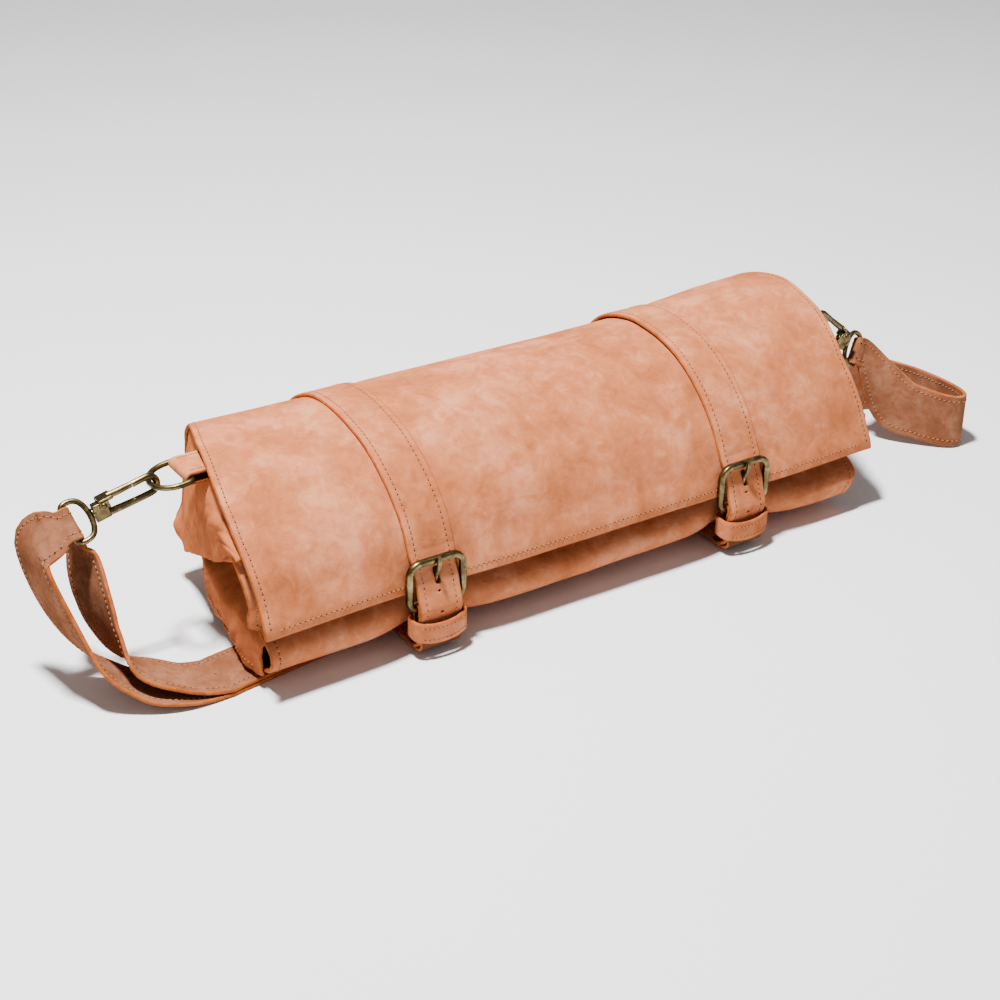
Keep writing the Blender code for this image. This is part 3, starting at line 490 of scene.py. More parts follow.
    def finish(self, name, mats, cutter=None):
        """Turn the sheet into an object, cut it if asked to, and add its stitches."""
        obj = make_object(name, self.bm, mats, 58)
        if cutter is not None:
            subtract(obj, cutter)
        bmesh.ops.recalc_face_normals(self.threads, faces=self.threads.faces)
        extra = bpy.data.meshes.new("stitches")
        self.threads.to_mesh(extra)
        self.threads.free()
        extra.shade_smooth()
        whole = bmesh.new()
        whole.from_mesh(obj.data)
        whole.from_mesh(extra)
        whole.to_mesh(obj.data)
        whole.free()
        bpy.data.meshes.remove(extra)
        return obj


def subtract(obj, cutter):
    """Cut one object out of another for good, and delete the cutter."""
    mod = obj.modifiers.new("cut", "BOOLEAN")
    mod.operation, mod.solver, mod.object = "DIFFERENCE", "EXACT", cutter
    depsgraph = bpy.context.evaluated_depsgraph_get()
    mesh = bpy.data.meshes.new_from_object(obj.evaluated_get(depsgraph), depsgraph=depsgraph)
    obj.modifiers.clear()
    old, obj.data = obj.data, mesh
    bpy.data.meshes.remove(old)
    bpy.data.objects.remove(cutter, do_unlink=True)


def settle(obj, body, slot, *nodes):
    """Hide the nodes that the piece stands for, and let it ride on its body; the slot is not used."""
    if nodes:
        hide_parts(*nodes)
    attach(obj, body)
    return obj


def add_object(name, data):
    obj = bpy.data.objects.new(name, data)
    bpy.context.collection.objects.link(obj)
    return obj


def make_object(name, bm, mats, sharp=40):
    bmesh.ops.recalc_face_normals(bm, faces=bm.faces)
    mesh = bpy.data.meshes.new(name)
    bm.to_mesh(mesh)
    bm.free()
    for mat in mats:
        mesh.materials.append(mat)
    mesh.shade_smooth()
    mesh.set_sharp_from_angle(angle=radians(sharp))
    return add_object(name, mesh)


def brass(name, bm, body, node, sharp=40):
    settle(make_object(name, bm, [BRASS], sharp), body, "antique_brass", node)


def brass_rod(name, node, points, radius, **how):
    """A brass piece that is one swept rod, on the body of its own name."""
    bm = bmesh.new()
    sweep(bm, points, radius, **how)
    brass(name, bm, node, node)


def sweep(bm, points, radius, closed=False, sides=18, power=2.0, up=None):
    """A rod along points; radius may vary, and the section may be squared."""
    count = len(points)
    normal = None
    rings = []
    for i, point in enumerate(points):
        if closed:
            tangent = points[(i + 1) % count] - points[i - 1]
        else:
            tangent = points[min(i + 1, count - 1)] - points[max(i - 1, 0)]
        tangent.normalize()
        if up is not None:
            normal = up
        elif normal is None:
            normal = tangent.orthogonal()
        normal = (normal - tangent * normal.dot(tangent)).normalized()
        side = tangent.cross(normal)
        size = radius[i] if isinstance(radius, list) else radius
        ring = []
        for k in range(sides):
            c, s = cos(2 * pi * k / sides), sin(2 * pi * k / sides)
            square = (abs(c) ** power + abs(s) ** power) ** (-1 / power)
            ring.append(bm.verts.new(point + (normal * c + side * s) * square * size))
        rings.append(ring)
    pairs = list(zip(rings, rings[1:]))
    if closed:
        pairs.append((rings[-1], rings[0]))
    for ring, following in pairs:
        for k in range(sides):
            m = (k + 1) % sides
            bm.faces.new((ring[k], ring[m], following[m], following[k]))
    if not closed:
        bm.faces.new(rings[0])
        bm.faces.new(list(reversed(rings[-1])))


def rounded_box(bm, low, high, matrix, bevel=0.0005):
    """A box with rounded edges, placed by a matrix."""
    part = bmesh.new()
    bmesh.ops.create_cube(part, size=1.0)
    size, middle = Vector(high) - Vector(low), (Vector(high) + Vector(low)) / 2
    bmesh.ops.scale(part, vec=size, verts=part.verts)
    bmesh.ops.translate(part, vec=middle, verts=part.verts)
    bmesh.ops.bevel(part, geom=list(part.edges), offset=bevel, segments=3, profile=0.6, affect="EDGES")
    bmesh.ops.transform(part, matrix=matrix, verts=part.verts)
    mesh = bpy.data.meshes.new("rounded_box")
    part.to_mesh(mesh)
    part.free()
    bm.from_mesh(mesh)
    bpy.data.meshes.remove(mesh)


# --- Roll ---


def end_to_end(u, first, last):
    """Map u from -1 to 1 between two ends, keeping the middle of the sheet even."""
    return (first + last) / 2 + (last - first) / 2 * u


def make_flap():
    """The flap: up from under the back, over the top, down to the front edge."""
    back = angle_at_height(0.0095, front=False)
    grid = []
    for share in spread(0.0, 1.0, 78, 0.002):
        row = []
        for u in spread(-1.0, 1.0, 84, 0.003):
            edge_z = 0.0402 + 0.0012 * noise.noise(Vector((u * 2.4, 3.0, 0.0)))
            t = back + (angle_at_height(edge_z, front=True) - back) * share
            x = end_to_end(u, table(degrees(t), FLAP_END[-1]), table(degrees(t), FLAP_END[1]))
            point = roll_point(x, t, 0.0, floor=0.0085)
            flare = ease((0.068 - point.z) / 0.028) * (1 - near_strap(x, 0.024)) if point.y < 0 else 0.0
            row.append(point + Vector((-0.0026, -0.006, 0.0037)) * flare)
        grid.append(row)
    panel = Panel(grid, LEATHER)
    panel.stitch_sides(0.0032, 0.003, 0.05, 0.99)
    panel.stitch(panel.inset_path("end", 0.0045), trim=0.008)
    flap = panel.finish("flap_leather", LEATHERS)
    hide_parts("flap")
    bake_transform(flap)


def shell_ends(turned, y):
    """Where a row of the outer panel ends, left and right: under the flap's ends, then by y."""
    if turned <= 205:
        first = table(turned, FLAP_END[-1]) + 0.0035 - 0.0056 * ease((turned - 128) / 25)
        return first, table(turned, FLAP_END[1]) - 0.003
    share = ease((y + 0.05) / 0.13)
    return -0.2215 + 0.016 * share, 0.219 - 0.008 * share


def make_shell():
    """The outer panel below the flap, round the front, the bottom and the back."""
    grid = []
    for t in spread(radians(150), radians(366), 96, 0.006):
        turned = degrees(t)
        if turned > 270:
            turned = 360 - turned if turned < 300 else turned - 360
        y_here, z_here = outline(0.0, t)
        first, last = shell_ends(turned, y_here)
        dip = ease((0.03 - z_here) / 0.024) if cos(t) < 0.2 else 0.0
        row = []
        for u in spread(-1.0, 1.0, 76, 0.003):
            x = end_to_end(u, first, last)
            share = ease((x / SHELL_HALF_LENGTH - 0.82) / 0.18)
            point = roll_point(x, t, shell_inset(t), floor=SHELL_BOTTOM_Z + 0.0002, waves=0.7)
            front = ease((-point.y - 0.03) / 0.03)
            fuller = 1.0 + 0.16 * ease((x + 0.2) / 0.2) + 0.6 * ease((x - 0.05) / 0.15)
            forward = table(point.z, PANEL_FORWARD)
            forward *= fuller if forward > 0 else 1.0
            point.y -= forward * front * (1 - 0.85 * near_strap(x, 0.026))
            point.z -= 0.0028 * ease((-point.y - 0.064) / 0.01) * ease((0.012 - point.z) / 0.005)
            point.x -= 0.012 * dip * share
            row.append(point)
        grid.append(row)
    panel = Panel(grid, LEATHER)
    panel.stitch_sides(0.0045, 0.004, 0.01, 0.98)
    panel.stitch(panel.inset_path("start", 0.0045), trim=0.008)
    shell = settle(panel.finish("outer_panel", LEATHERS), "case", "nubuck", "outer_shell")


def make_inner_panels():
    """The lining panel rolled up inside, and the brush pockets in its middle."""
    grid = []
    for share in spread(0.0, 1.0, 110, 0.003):
        t = radians(120) + 2 * pi * LINING_TURNS * share
        inset = LINING_INSET + LINING_RISE * LINING_TURNS * share
        grid.append([roll_point(x, t, inset, waves=0.5) for x in spread(-0.203, 0.203, 40)])
    panel = Panel(grid, LEATHER)
    panel.stitch_sides(0.004, 0.004)
    lining = settle(panel.finish("lining_panel", LINING_LEATHERS), "case", "wing_leather", "inner_roll")
    grid = []
    for share in spread(0.0, 1.0, 64, 0.003):
        t = radians(175) + 2 * pi * POCKET_TURNS * share
        row = []
        for x in spread(-POCKET_HALF_LENGTH, POCKET_HALF_LENGTH, 80):
            wave = 0.0012 * abs(sin(pi * x / POCKET_PITCH))
            row.append(roll_point(x, t, POCKET_INSET - wave, waves=0.3))
        grid.append(row)
    panel = Panel(grid, SOFT_THICKNESS)
    for seam_x in steps(-POCKET_HALF_LENGTH, POCKET_HALF_LENGTH, 10):
        column = min(range(panel.cols), key=lambda j: abs(grid[0][j].x - seam_x))
        path = [(grid[i][column], panel.normals[i][column]) for i in range(2, panel.rows - 2)]
        panel.stitch([(p - n * SOFT_THICKNESS, -n) for p, n in path], lift=0.0)
    pockets = settle(panel.finish("brush_pockets", LINING_LEATHERS), "case", "wing_leather", "pocket_panel")


def roof(y, inset):
    """Height of the roll's upper surface at y."""
    depth, lean = HALF_DEPTH - inset, LEAN * (HALF_HEIGHT - inset)
    reach = hypot(depth, lean)
    t = atan2(lean, depth) + acos(max(-1.0, min(1.0, y / reach)))
    return CENTRE_Z + (HALF_HEIGHT - inset) * sin(t)


def wing_hem(y):
    """Height of the upper wing's free edge, which climbs towards the front."""
    return 0.03 + 0.05 * (0.05 - y) / 0.105


def make_wing(side, upper, name, node):
    """A soft end flap, full in the middle and puckered where it is tucked in."""
    seed = 2.0 + side + (0.0 if upper else 5.0)
    first, last = (-0.0615, 0.0745) if upper else (-0.0675, 0.056)
    grid = []
    for v in spread(0.0, 1.0, 40, 0.01):
        row = []
        for u in spread(0.0, 1.0, 52, 0.005):
            y = first + (last - first) * u
            if upper:
                low, high = wing_hem(y), roof(y, 0.0042)
                low = min(low, high - 0.004)
                bulge = 0.0058 * sin(pi * min(1.0, 0.3 + 0.7 * v)) + 0.0012
                bulge += 0.003 * ease((y - 0.02) / 0.05) * (1 - v * 0.5)
            else:
                low = 0.0092 + 0.026 * max(0.0, (y - 0.035) / 0.04) ** 2
                high = min(wing_hem(y) + 0.01, roof(y, 0.0042) - 0.02)
                bulge = -0.0165 + 0.0168 * ease((0.62 - v) / 0.27)
            z = low + (high - low) * v
            folds = 0.0034 * noise.noise(Vector((u * 3.3 + seed, v * 2.6, seed)))
            folds += 0.0022 * abs(noise.noise(Vector((u * 9.0 + v * 6.0 + seed, v * 2.0, 1.7))))
            ear = 0.0
            if upper:
                ear = 0.006 * exp(-(((y - 0.073) / 0.011) ** 2) - ((z - 0.0385) / 0.009) ** 2)
            x = table(y, WING_END[side]) + side * (bulge + folds + ear)
            row.append(Vector((x, y, z + 0.0012 * noise.noise(Vector((u * 4.0, seed, v))))))
        grid.append(row)
    panel = Panel(grid, SOFT_THICKNESS, outside=SOFT_THICKNESS / 2, flip=side > 0)
    if not upper:
        panel.stitch(panel.inset_path("start", 0.0045), trim=0.006)
    wing = settle(panel.finish(name, WING_LEATHERS), "case", "wing_leather", node)


def make_wings():
    for side, word in WORDS.items():
        make_wing(side, True, f"wing_leather_{word}_upper", f"wing_{word}_upper")
        make_wing(side, False, f"wing_leather_{word}_lower", f"wing_{word}_lower")


# --- Straps and buckles ---


def strip_grid(line, x, widths, columns=8):
    """A grid across a (y, z) line, at x, of the given widths."""
    grid = []
    for (y, z), width in zip(line, widths):
        grid.append([Vector((x + u * width / 2, y, z)) for u in spread(-1.0, 1.0, columns, 0.05)])
    return grid


def hole_cutter(holes):
    """Round-ended slots through a strap, each (x, z low, z high, radius)."""
    bm = bmesh.new()
    for x, low, high, radius in holes:
        points = []
        for z, first in ((high, 0), (low, pi)):
            for a in steps(first, first + pi, 9):
                points.append(Vector((x + radius * cos(a), 0, z + radius * sin(a))))
        near = [bm.verts.new(p + Vector((0, -0.1, 0))) for p in points]
        far = [bm.verts.new(p + Vector((0, -0.078, 0))) for p in points]
        for k in range(len(points)):
            bm.faces.new((near[k - 1], near[k], far[k], far[k - 1]))
        bm.faces.new(near)
        bm.faces.new(list(reversed(far)))
    return make_object("hole_cutter", bm, [EDGE, EDGE])


def make_closure_strap(word, x):
    """The sewn strap over the flap and its free tail down through the buckle and keeper."""
    half = 0.0013
    sewn = pi - asin((0.0665 - CENTRE_Z) / HALF_HEIGHT)
    line = []
    for t in spread(radians(4), sewn, 60, 0.012):
        point = roll_point(x, t, -GAP - half)
        line.append((point.y, point.z))
    count = len(line)
    route = [
        line[-1], (-0.0806, 0.06), (-0.0815, 0.055), (-0.0848, 0.048), (-0.0868, 0.041),
        (-0.0897, 0.033), (-0.0897, 0.03), (-0.0886, 0.0265), (-0.0876, 0.0225), (-0.0876, 0.017),
        (-0.0873, 0.013), (-0.085, 0.008), (-0.078, 0.0038), (-0.07, 0.003),
    ]
    tail = smooth_line(route, 6)[1:]
    line += [(p[0], p[1]) for p in tail]
    widths = [STRAP_WIDTH] * count + [STRAP_WIDTH - 0.0024 * ease(k / 9) for k in range(len(tail))]
    for k in range(8):
        widths[-1 - k] *= 1 - 0.24 * (1 - k / 8) ** 2
    panel = Panel(strip_grid(line, x, widths), STRAP_THICKNESS, outside=STRAP_THICKNESS / 2)
    panel.stitch_sides(0.0038, 0.004)
    panel.stitch(panel.inset_path("start", 0.004), trim=0.004)
    panel.stitch(panel.inset_path("start", 0.018), trim=0.004)
    holes = hole_cutter(
        ((x, 0.0478, 0.0545, 0.0019), (x, 0.042, 0.042, 0.0009), (x, 0.0292, 0.0292, 0.001))
    )
    strap = panel.finish(f"closure_strap_{word}", LEATHERS, holes)
    settle(strap, "flap", "nubuck", f"flap_strap_{word}", f"billet_{word}")


def make_chape(word, x):
    """The short strap that folds round the heel bar, notched for the prong."""
    half = 0.0009
    wrap = HEEL_RADIUS + GAP + half
    rise = [(-0.056, 0.004), (-0.07, 0.0034), (-0.0805, 0.0031), (-0.0868, 0.0048), (-0.0888, 0.0085)]
    rise += [(-0.0872, 0.0118), (-0.0832, 0.0148), (-0.081, 0.019), (-0.0806, 0.024)]
    turn = [
        (HEEL_Y - wrap * cos(a), HEEL_Z + wrap * sin(a))
        for a in steps(radians(188), radians(-14), 14)
    ]
    back = [(-0.0853, 0.024), (-0.0829, 0.019), (-0.0829, 0.0145)]
    line = [tuple(p) for p in smooth_line(rise, 5)] + turn + [tuple(p) for p in smooth_line(back, 4)]
    panel = Panel(strip_grid(line, x, [0.027] * len(line)), CHAPE_THICKNESS, outside=CHAPE_THICKNESS / 2)
    panel.stitch_sides(0.0032, 0.002, 0.0, 0.5)
    bm = bmesh.new()
    low = (x - 0.0035, HEEL_Y - 0.012, HEEL_Z - 0.0075)
    rounded_box(bm, low, (x + 0.0035, HEEL_Y + 0.012, HEEL_Z + 0.008), Matrix.Identity(4))
    chape = panel.finish(f"chape_leather_{word}", LEATHERS, make_object("chape_cutter", bm, [EDGE, EDGE]))
    settle(chape, "case", "nubuck", f"chape_{word}")


def corner_arc(x, y, start, radius, inward, count):
    """A quarter circle that rounds the corner (x, y), from a start angle in degrees."""
    cx, cy = x - copysign(radius, x), y + inward * radius
    angles = [radians(start + 90 * k / count) for k in range(count + 1)]
    return [(cx + radius * cos(a), cy + radius * sin(a)) for a in angles]


def rounded_rectangle(half_x, low, high, radius):
    points = []
    for x, y, start in ((half_x, high, 0), (-half_x, high, 90), (-half_x, low, 180), (half_x, low, 270)):
        points += corner_arc(x, y, start, radius, 1 if y == low else -1, 9)
    return points


def make_keeper(word, x):
    """A leather loop with soft corners round the chape and the tail."""
    half, radius = KEEPER_HALF_WIDTH + KEEPER_WALL / 2, 0.0052
    back, front = KEEPER_BACK_Y + KEEPER_WALL / 2, KEEPER_FRONT_Y - KEEPER_WALL / 2
    corners = ((half, back, 0), (-half, back, 90), (-half, front, 180), (half, front, 270))
    path = []
    for cx, cy, start in corners:
        arc = corner_arc(cx, cy, start, radius, -1 if cy == back else 1, 6)
        path += [(x + px, py) for px, py in arc]
        if cy == front and start == 180:
            for u in steps(-half + radius, half - radius, 8)[1:-1]:
                path.append((x + u, front - 0.0018 * cos(u / half * pi / 2)))
    low = KEEPER_Z - KEEPER_HEIGHT / 2
    grid = []
    for px, py in path:
        row = []
        for v in spread(0.0, 1.0, 8, 0.06):
            droop = 0.003 * ease((-0.08 - py) / 0.012) * cos(0.8 * (px - x) / half * pi / 2)
            row.append(Vector((px, py, low + KEEPER_HEIGHT * v - droop)))
        grid.append(row)
    panel = Panel(grid, KEEPER_WALL, outside=KEEPER_WALL / 2, closed=True)
    panel.stitch_sides(0.0022, 0.001, 0.5, 1.0, pitch=0.0028, length=0.0018, radius=0.0003)
    settle(panel.finish(f"keeper_leather_{word}", LEATHERS), "case", "nubuck", f"keeper_{word}")


def make_buckle(word, x):
    half, rise = 0.041 / 2 - HEEL_RADIUS, TOP_BAR_Z - HEEL_Z
    lean = (TOP_BAR_Y - HEEL_Y) / rise
    points = [
        Vector((x + px, HEEL_Y + lean * pz, HEEL_Z + pz))
        for px, pz in rounded_rectangle(half, 0.0, rise, 0.0075)
    ]
    how = {"closed": True, "sides": 20, "power": 2.7, "up": Vector((0, 1, 0))}
    brass_rod(f"buckle_brass_{word}", f"buckle_{word}", points, HEEL_RADIUS, **how)
    eye = HEEL_RADIUS + GAP + 0.0015
    turn = [
        (HEEL_Y - eye * cos(a), HEEL_Z + eye * sin(a))
        for a in steps(radians(300), radians(70), 22)
    ]
    rod = [(-0.0836, 0.039), (-0.0832, 0.044), (-0.084, 0.05), (-0.0862, 0.055), (-0.0878, 0.059),
           (-0.0882, 0.062), (-0.0877, 0.0652)]
    line = [Vector(p) for p in turn] + smooth_line(rod, 5)
    points = [Vector((x, p[0], p[1])) for p in line]
    sizes = [0.0015 * (1 - 0.45 * ease((k - len(points) + 8) / 8)) for k in range(len(points))]
    brass_rod(f"prong_brass_{word}", f"prong_{word}", points, sizes, sides=14)


# --- Tabs, rings and hooks ---


def make_tab(word, side):
    """A leather tab folded over the ring's bar."""
    wrap = RING_WIRE + GAP + 0.0009
    top, low = RING_BAR_Z + wrap, RING_BAR_Z - wrap
    line = [(0.19, top - 0.001), (0.205, top - 0.0006), (0.22, top), (0.229, top)]
    line += [(RING_BAR_X + wrap * sin(a), RING_BAR_Z + wrap * cos(a)) for a in steps(0, pi, 12)]
    line += [(0.229, low - 0.0002), (0.224, low), (0.2196, low)]
    line = [tuple(p) for p in smooth_line(line, 2)]
    grid = []
    for px, pz in line:
        grid.append([Vector((side * px, TAB_Y + u * 0.012, pz)) for u in spread(-1.0, 1.0, 8, 0.06)])
    panel = Panel(grid, TAB_THICKNESS, outside=TAB_THICKNESS / 2, flip=side < 0)
    panel.stitch_sides(0.003, 0.002, 0.0, 0.4)
    settle(panel.finish(f"tab_leather_{word}", LEATHERS), "case", "nubuck", f"ring_tab_{word}")


def outward(side, droop):
    """The direction out of one end of the roll, drooping by an angle."""
    return Vector((side * cos(droop), 0, -sin(droop)))


def ring_bar(side):
    return Vector((side * RING_BAR_X, TAB_Y, RING_BAR_Z))


def hook_frame(side):
    """The hook's matrix: u along it, v towards its gate, from where it meets the ring."""
    contact = ring_bar(side) + outward(side, RING_DROOP[side]) * RING_DEPTH
    droop = HOOK_DROOP[side]
    u = outward(side, droop)
    v = Vector((side * sin(droop), 0, cos(droop)))
    rows = Matrix((u, v.cross(u), v)).transposed().to_4x4()
    return Matrix.Translation(contact) @ rows


def make_ring(word, side):
    """A D-ring: straight on its bar, with small corners, and round where the hook hangs."""
    half, straight, corner = RING_HALF_WIDTH, RING_DEPTH - RING_HALF_WIDTH, 0.003
    out, bar = outward(side, RING_DROOP[side]), ring_bar(side)

    def at(y, u):
        return bar + Vector((0, y, 0)) + out * u

    points = [at(y, 0.0) for y in steps(-half + 0.0035, half - 0.0035, 6)]
    for a in steps(-pi / 2, 0, 6)[1:]:
        points.append(at(half - corner + corner * cos(a), corner + corner * sin(a)))
    for a in steps(0, pi, 28):
        points.append(at(half * cos(a), straight + half * sin(a)))
    for a in steps(pi, 3 * pi / 2, 6)[:-1]:
        points.append(at(-half + corner + corner * cos(a), corner + corner * sin(a)))
    brass_rod(f"ring_brass_{word}", f"d_ring_{word}", points, RING_WIRE, closed=True)


def make_hook(word, matrix):
    """The hook and its block, which is left solid, with the sprung gate and its rivet."""

    def place(u, y, v):
        return matrix @ Vector((u, y, v))

    nose, wire = 0.0055, 0.002
    bow = [(0.01, nose), (0.005, nose)]
    bow += [(0.00145 + nose * cos(a), nose * sin(a)) for a in steps(pi / 2, 1.5 * pi, 18)]
    bow += [(0.007, -0.0054), (0.012, -0.0052), (0.019, -0.0048), (0.025, -0.0044), (0.03, -0.0042)]
    bm = bmesh.new()
    sizes = [wire] * (len(bow) - 4) + [wire * 1.02, wire * 1.08, wire * 1.12, wire * 1.12]
    sweep(bm, [place(u, 0, v) for u, v in bow], sizes, sides=16, power=2.4)
    rounded_box(bm, (0.0272, -0.0026, -0.006), (0.0365, 0.0026, 0.0052), matrix, 0.0008)
    sweep(bm, [place(0.0355, 0, 0), place(0.0372, 0, 0)], 0.0031, sides=18)
    brass(f"hook_brass_{word}", bm, f"snap_hook_{word}", f"snap_hook_{word}", 45)
    bm = bmesh.new()
    sweep(bm, [place(0.0106, 0, 0.0056), place(0.018, 0, 0.0057), place(0.026, 0, 0.006)],
          [0.0018, 0.002, 0.0021], sides=14, power=2.8)
    rounded_box(bm, (0.0235, -0.004, 0.005), (0.0322, 0.004, 0.0073), matrix, 0.0006)
    for sign in (-1, 1):
        near, far = sorted((sign * 0.0029, sign * 0.004))
        rounded_box(bm, (0.0265, near, 0.0012), (0.0325, far, 0.0068), matrix, 0.0004)
    brass(f"gate_brass_{word}", bm, f"hook_gate_{word}", f"hook_gate_{word}", 45)
    bm = bmesh.new()
    for sign in (-1, 1):
        profile = [place(0.03, sign * y, 0.0035) for y in (0.0038, 0.0044, 0.0048, 0.005)]
        sweep(bm, profile, [0.0018, 0.0017, 0.0012, 0.0004], sides=16)
    brass(f"rivet_brass_{word}", bm, f"snap_hook_{word}", f"gate_rivet_{word}", 60)


def make_eye(word, side, matrix):
    """A wire eye on a headed stem."""
    turn = EYE_TURN[side]
    half, first = EYE_HALF_WIDTH - EYE_WIRE, 0.0368 + EYE_WIRE
    loop = [(first, 0.0), (first + 0.0002, 0.25 * half), (first + 0.001, 0.55 * half)]
    loop += [(first + 0.0028, 0.82 * half)]
    loop += [(first + 0.0055, 0.96 * half), (first + 0.0085, half), (EYE_BAR_U - 0.004, half)]
    loop += [(EYE_BAR_U - 0.0018, half - 0.0005), (EYE_BAR_U - 0.0005, half - 0.0018)]
    loop += [(EYE_BAR_U, half - 0.004), (EYE_BAR_U, 0.0)]
    loop += [(u, -w) for u, w in reversed(loop[1:-1])]
    flat = smooth_line([*loop, loop[0]], 3)[:-1]
    points = [matrix @ Vector((p[0], p[1] * cos(turn), p[1] * sin(turn))) for p in flat]
    bm = bmesh.new()
    sweep(bm, points, EYE_WIRE, closed=True, sides=16)
    stem = [matrix @ Vector((u, 0, 0)) for u in (0.0257, 0.0262, 0.027, 0.0272, 0.0392)]
    sweep(bm, stem, [0.0012, 0.0019, 0.0019, 0.00135, 0.00135], sides=16)
    brass(f"eye_brass_{word}", bm, f"swivel_eye_{word}", f"swivel_eye_{word}")


# --- Shoulder strap ---


# How far the strap's middle surface stands from the bars that it wraps, and its width inside an eye.
EYE_REACH = EYE_WIRE + GAP + BELT_THICKNESS / 2 + 0.0002
EYE_INSIDE = 2 * (EYE_HALF_WIDTH - 2 * EYE_WIRE) - 0.002
SLIDER_REACH = SLIDER_BAR * sqrt(2) + GAP + BELT_THICKNESS / 2


def above_floor(point):
    """Keep the strap's middle surface half its thickness above the floor."""
    return Vector((point.x, point.y, max(point.z, BELT_THICKNESS / 2)))


def ribbon_grid(stations, per_span, columns=8):
    """A grid through stations of (point, width direction, width), which may twist."""
    points = smooth_line([s[0] for s in stations], per_span)
    widths = smooth_line([Vector(s[1]).normalized() * s[2] for s in stations], per_span)
    grid = []
    for i, point in enumerate(points):
        tangent = (points[min(i + 1, len(points) - 1)] - points[max(i - 1, 0)]).normalized()
        across = widths[i] - tangent * widths[i].dot(tangent)
        across = across.normalized() * widths[i].length / 2
        grid.append([above_floor(point + across * u) for u in spread(-1.0, 1.0, columns, 0.04)])
    return grid


def belt_direction():
    return Vector((BELT_RIGHT[0] - BELT_LEFT[0], BELT_RIGHT[1] - BELT_LEFT[1], 0)).normalized()


def belt_frame():
    """Along and across the strap where it lies on the floor, and the slider's place."""
    along = belt_direction()
    return along, Vector((0, 0, 1)).cross(along), belt_point(SLIDER_X, 0)


def belt_point(x, z):
    share = (x - BELT_LEFT[0]) / (BELT_RIGHT[0] - BELT_LEFT[0])
    return Vector((x, BELT_LEFT[1] + share * (BELT_RIGHT[1] - BELT_LEFT[1]), z))


def eye_wrap(side, matrix):
    turn = EYE_TURN[side]
    origin = matrix @ Vector((0, 0, 0))
    bar = matrix @ Vector((EYE_BAR_U, 0, 0))
    out = matrix @ Vector((1, 0, 0)) - origin
    across = matrix @ Vector((0, cos(turn), sin(turn))) - origin
    return bar, out, -across if across.z < 0 else across


def right_end(matrix):
    """Stations from the sewn end, round the right eye and the hairpin, down to the slider."""
    bar, out, bar_across = eye_wrap(1, matrix)
    side = out.cross(bar_across)
    if side.y > 0:
        side = -side
    reach, diagonal, narrow, full = EYE_REACH, EYE_REACH * sqrt(0.5), EYE_INSIDE, BELT_WIDTH
    stand = BELT_WIDTH / 2 + 0.002
    along, across, middle = belt_frame()
    end = middle + along * 0.0221 + Vector((0, 0, BELT_UPPER_Z - 0.0012))
    return [
        (bar + out * 0.005 - side * reach * 0.8, bar_across, narrow),
        (bar - side * reach, bar_across, narrow),
        (bar - (side + out) * diagonal, bar_across, narrow),
        (bar - out * reach, bar_across, narrow),
        (bar + (side - out) * diagonal, bar_across, narrow),
        (bar + side * reach, bar_across, narrow),
        (bar + out * 0.008 + side * (reach + 0.0014), bar_across, narrow * 1.15),
        ((0.309, -0.021, stand + 0.011), (0.1, 0.1, 1), full),
        ((0.32, -0.035, stand + 0.0045), (0.05, 0.05, 1), full),
        ((0.332, -0.048, stand + 0.001), (0, 0.02, 1), full),
        ((0.341, -0.0535, stand), (0, 0, 1), full),
        ((0.348, -0.051, stand), (0, 0, 1), full),
        ((0.3515, -0.038, stand), (0, 0, 1), full),
        ((0.351, -0.015, stand), (0, 0, 1), full),
        ((0.346, 0.01, stand), (0, 0, 1), full),
        ((0.334, 0.03, stand), (0.0, 0.2, 1), full),
        ((0.318, 0.036, 0.0195), (-0.3, 0.8, 1.6), full),
        ((0.305, 0.032, 0.014), (-0.2, 1, 0.5), full),
        (end + along * 0.009 + Vector((0, 0, 0.0008)), across, full),
    ]


def upper_run():
    """Stations over the slider's middle bar and then along under the roll."""
    along, across, middle = belt_frame()
    high = SLIDER_Z + SLIDER_REACH + BELT_THICKNESS + 0.001
    lift = [
        (0.0215, BELT_UPPER_Z - 0.0012), (0.014, BELT_UPPER_Z - 0.0002), (0.0095, 0.0078),
        (0.0042, high - 0.0004), (0.0, high), (-0.0042, high - 0.0004), (-0.0095, 0.0078),
        (-0.014, BELT_UPPER_Z + 0.0002), (-0.024, BELT_UPPER_Z),
    ]
    stations = [(middle + along * px + Vector((0, 0, pz)), across, BELT_WIDTH) for px, pz in lift]
    flat = (0.15, 0.0, -0.15, BELT_LEFT[0])
    return stations + [(belt_point(x, BELT_UPPER_Z), across, BELT_WIDTH) for x in flat]


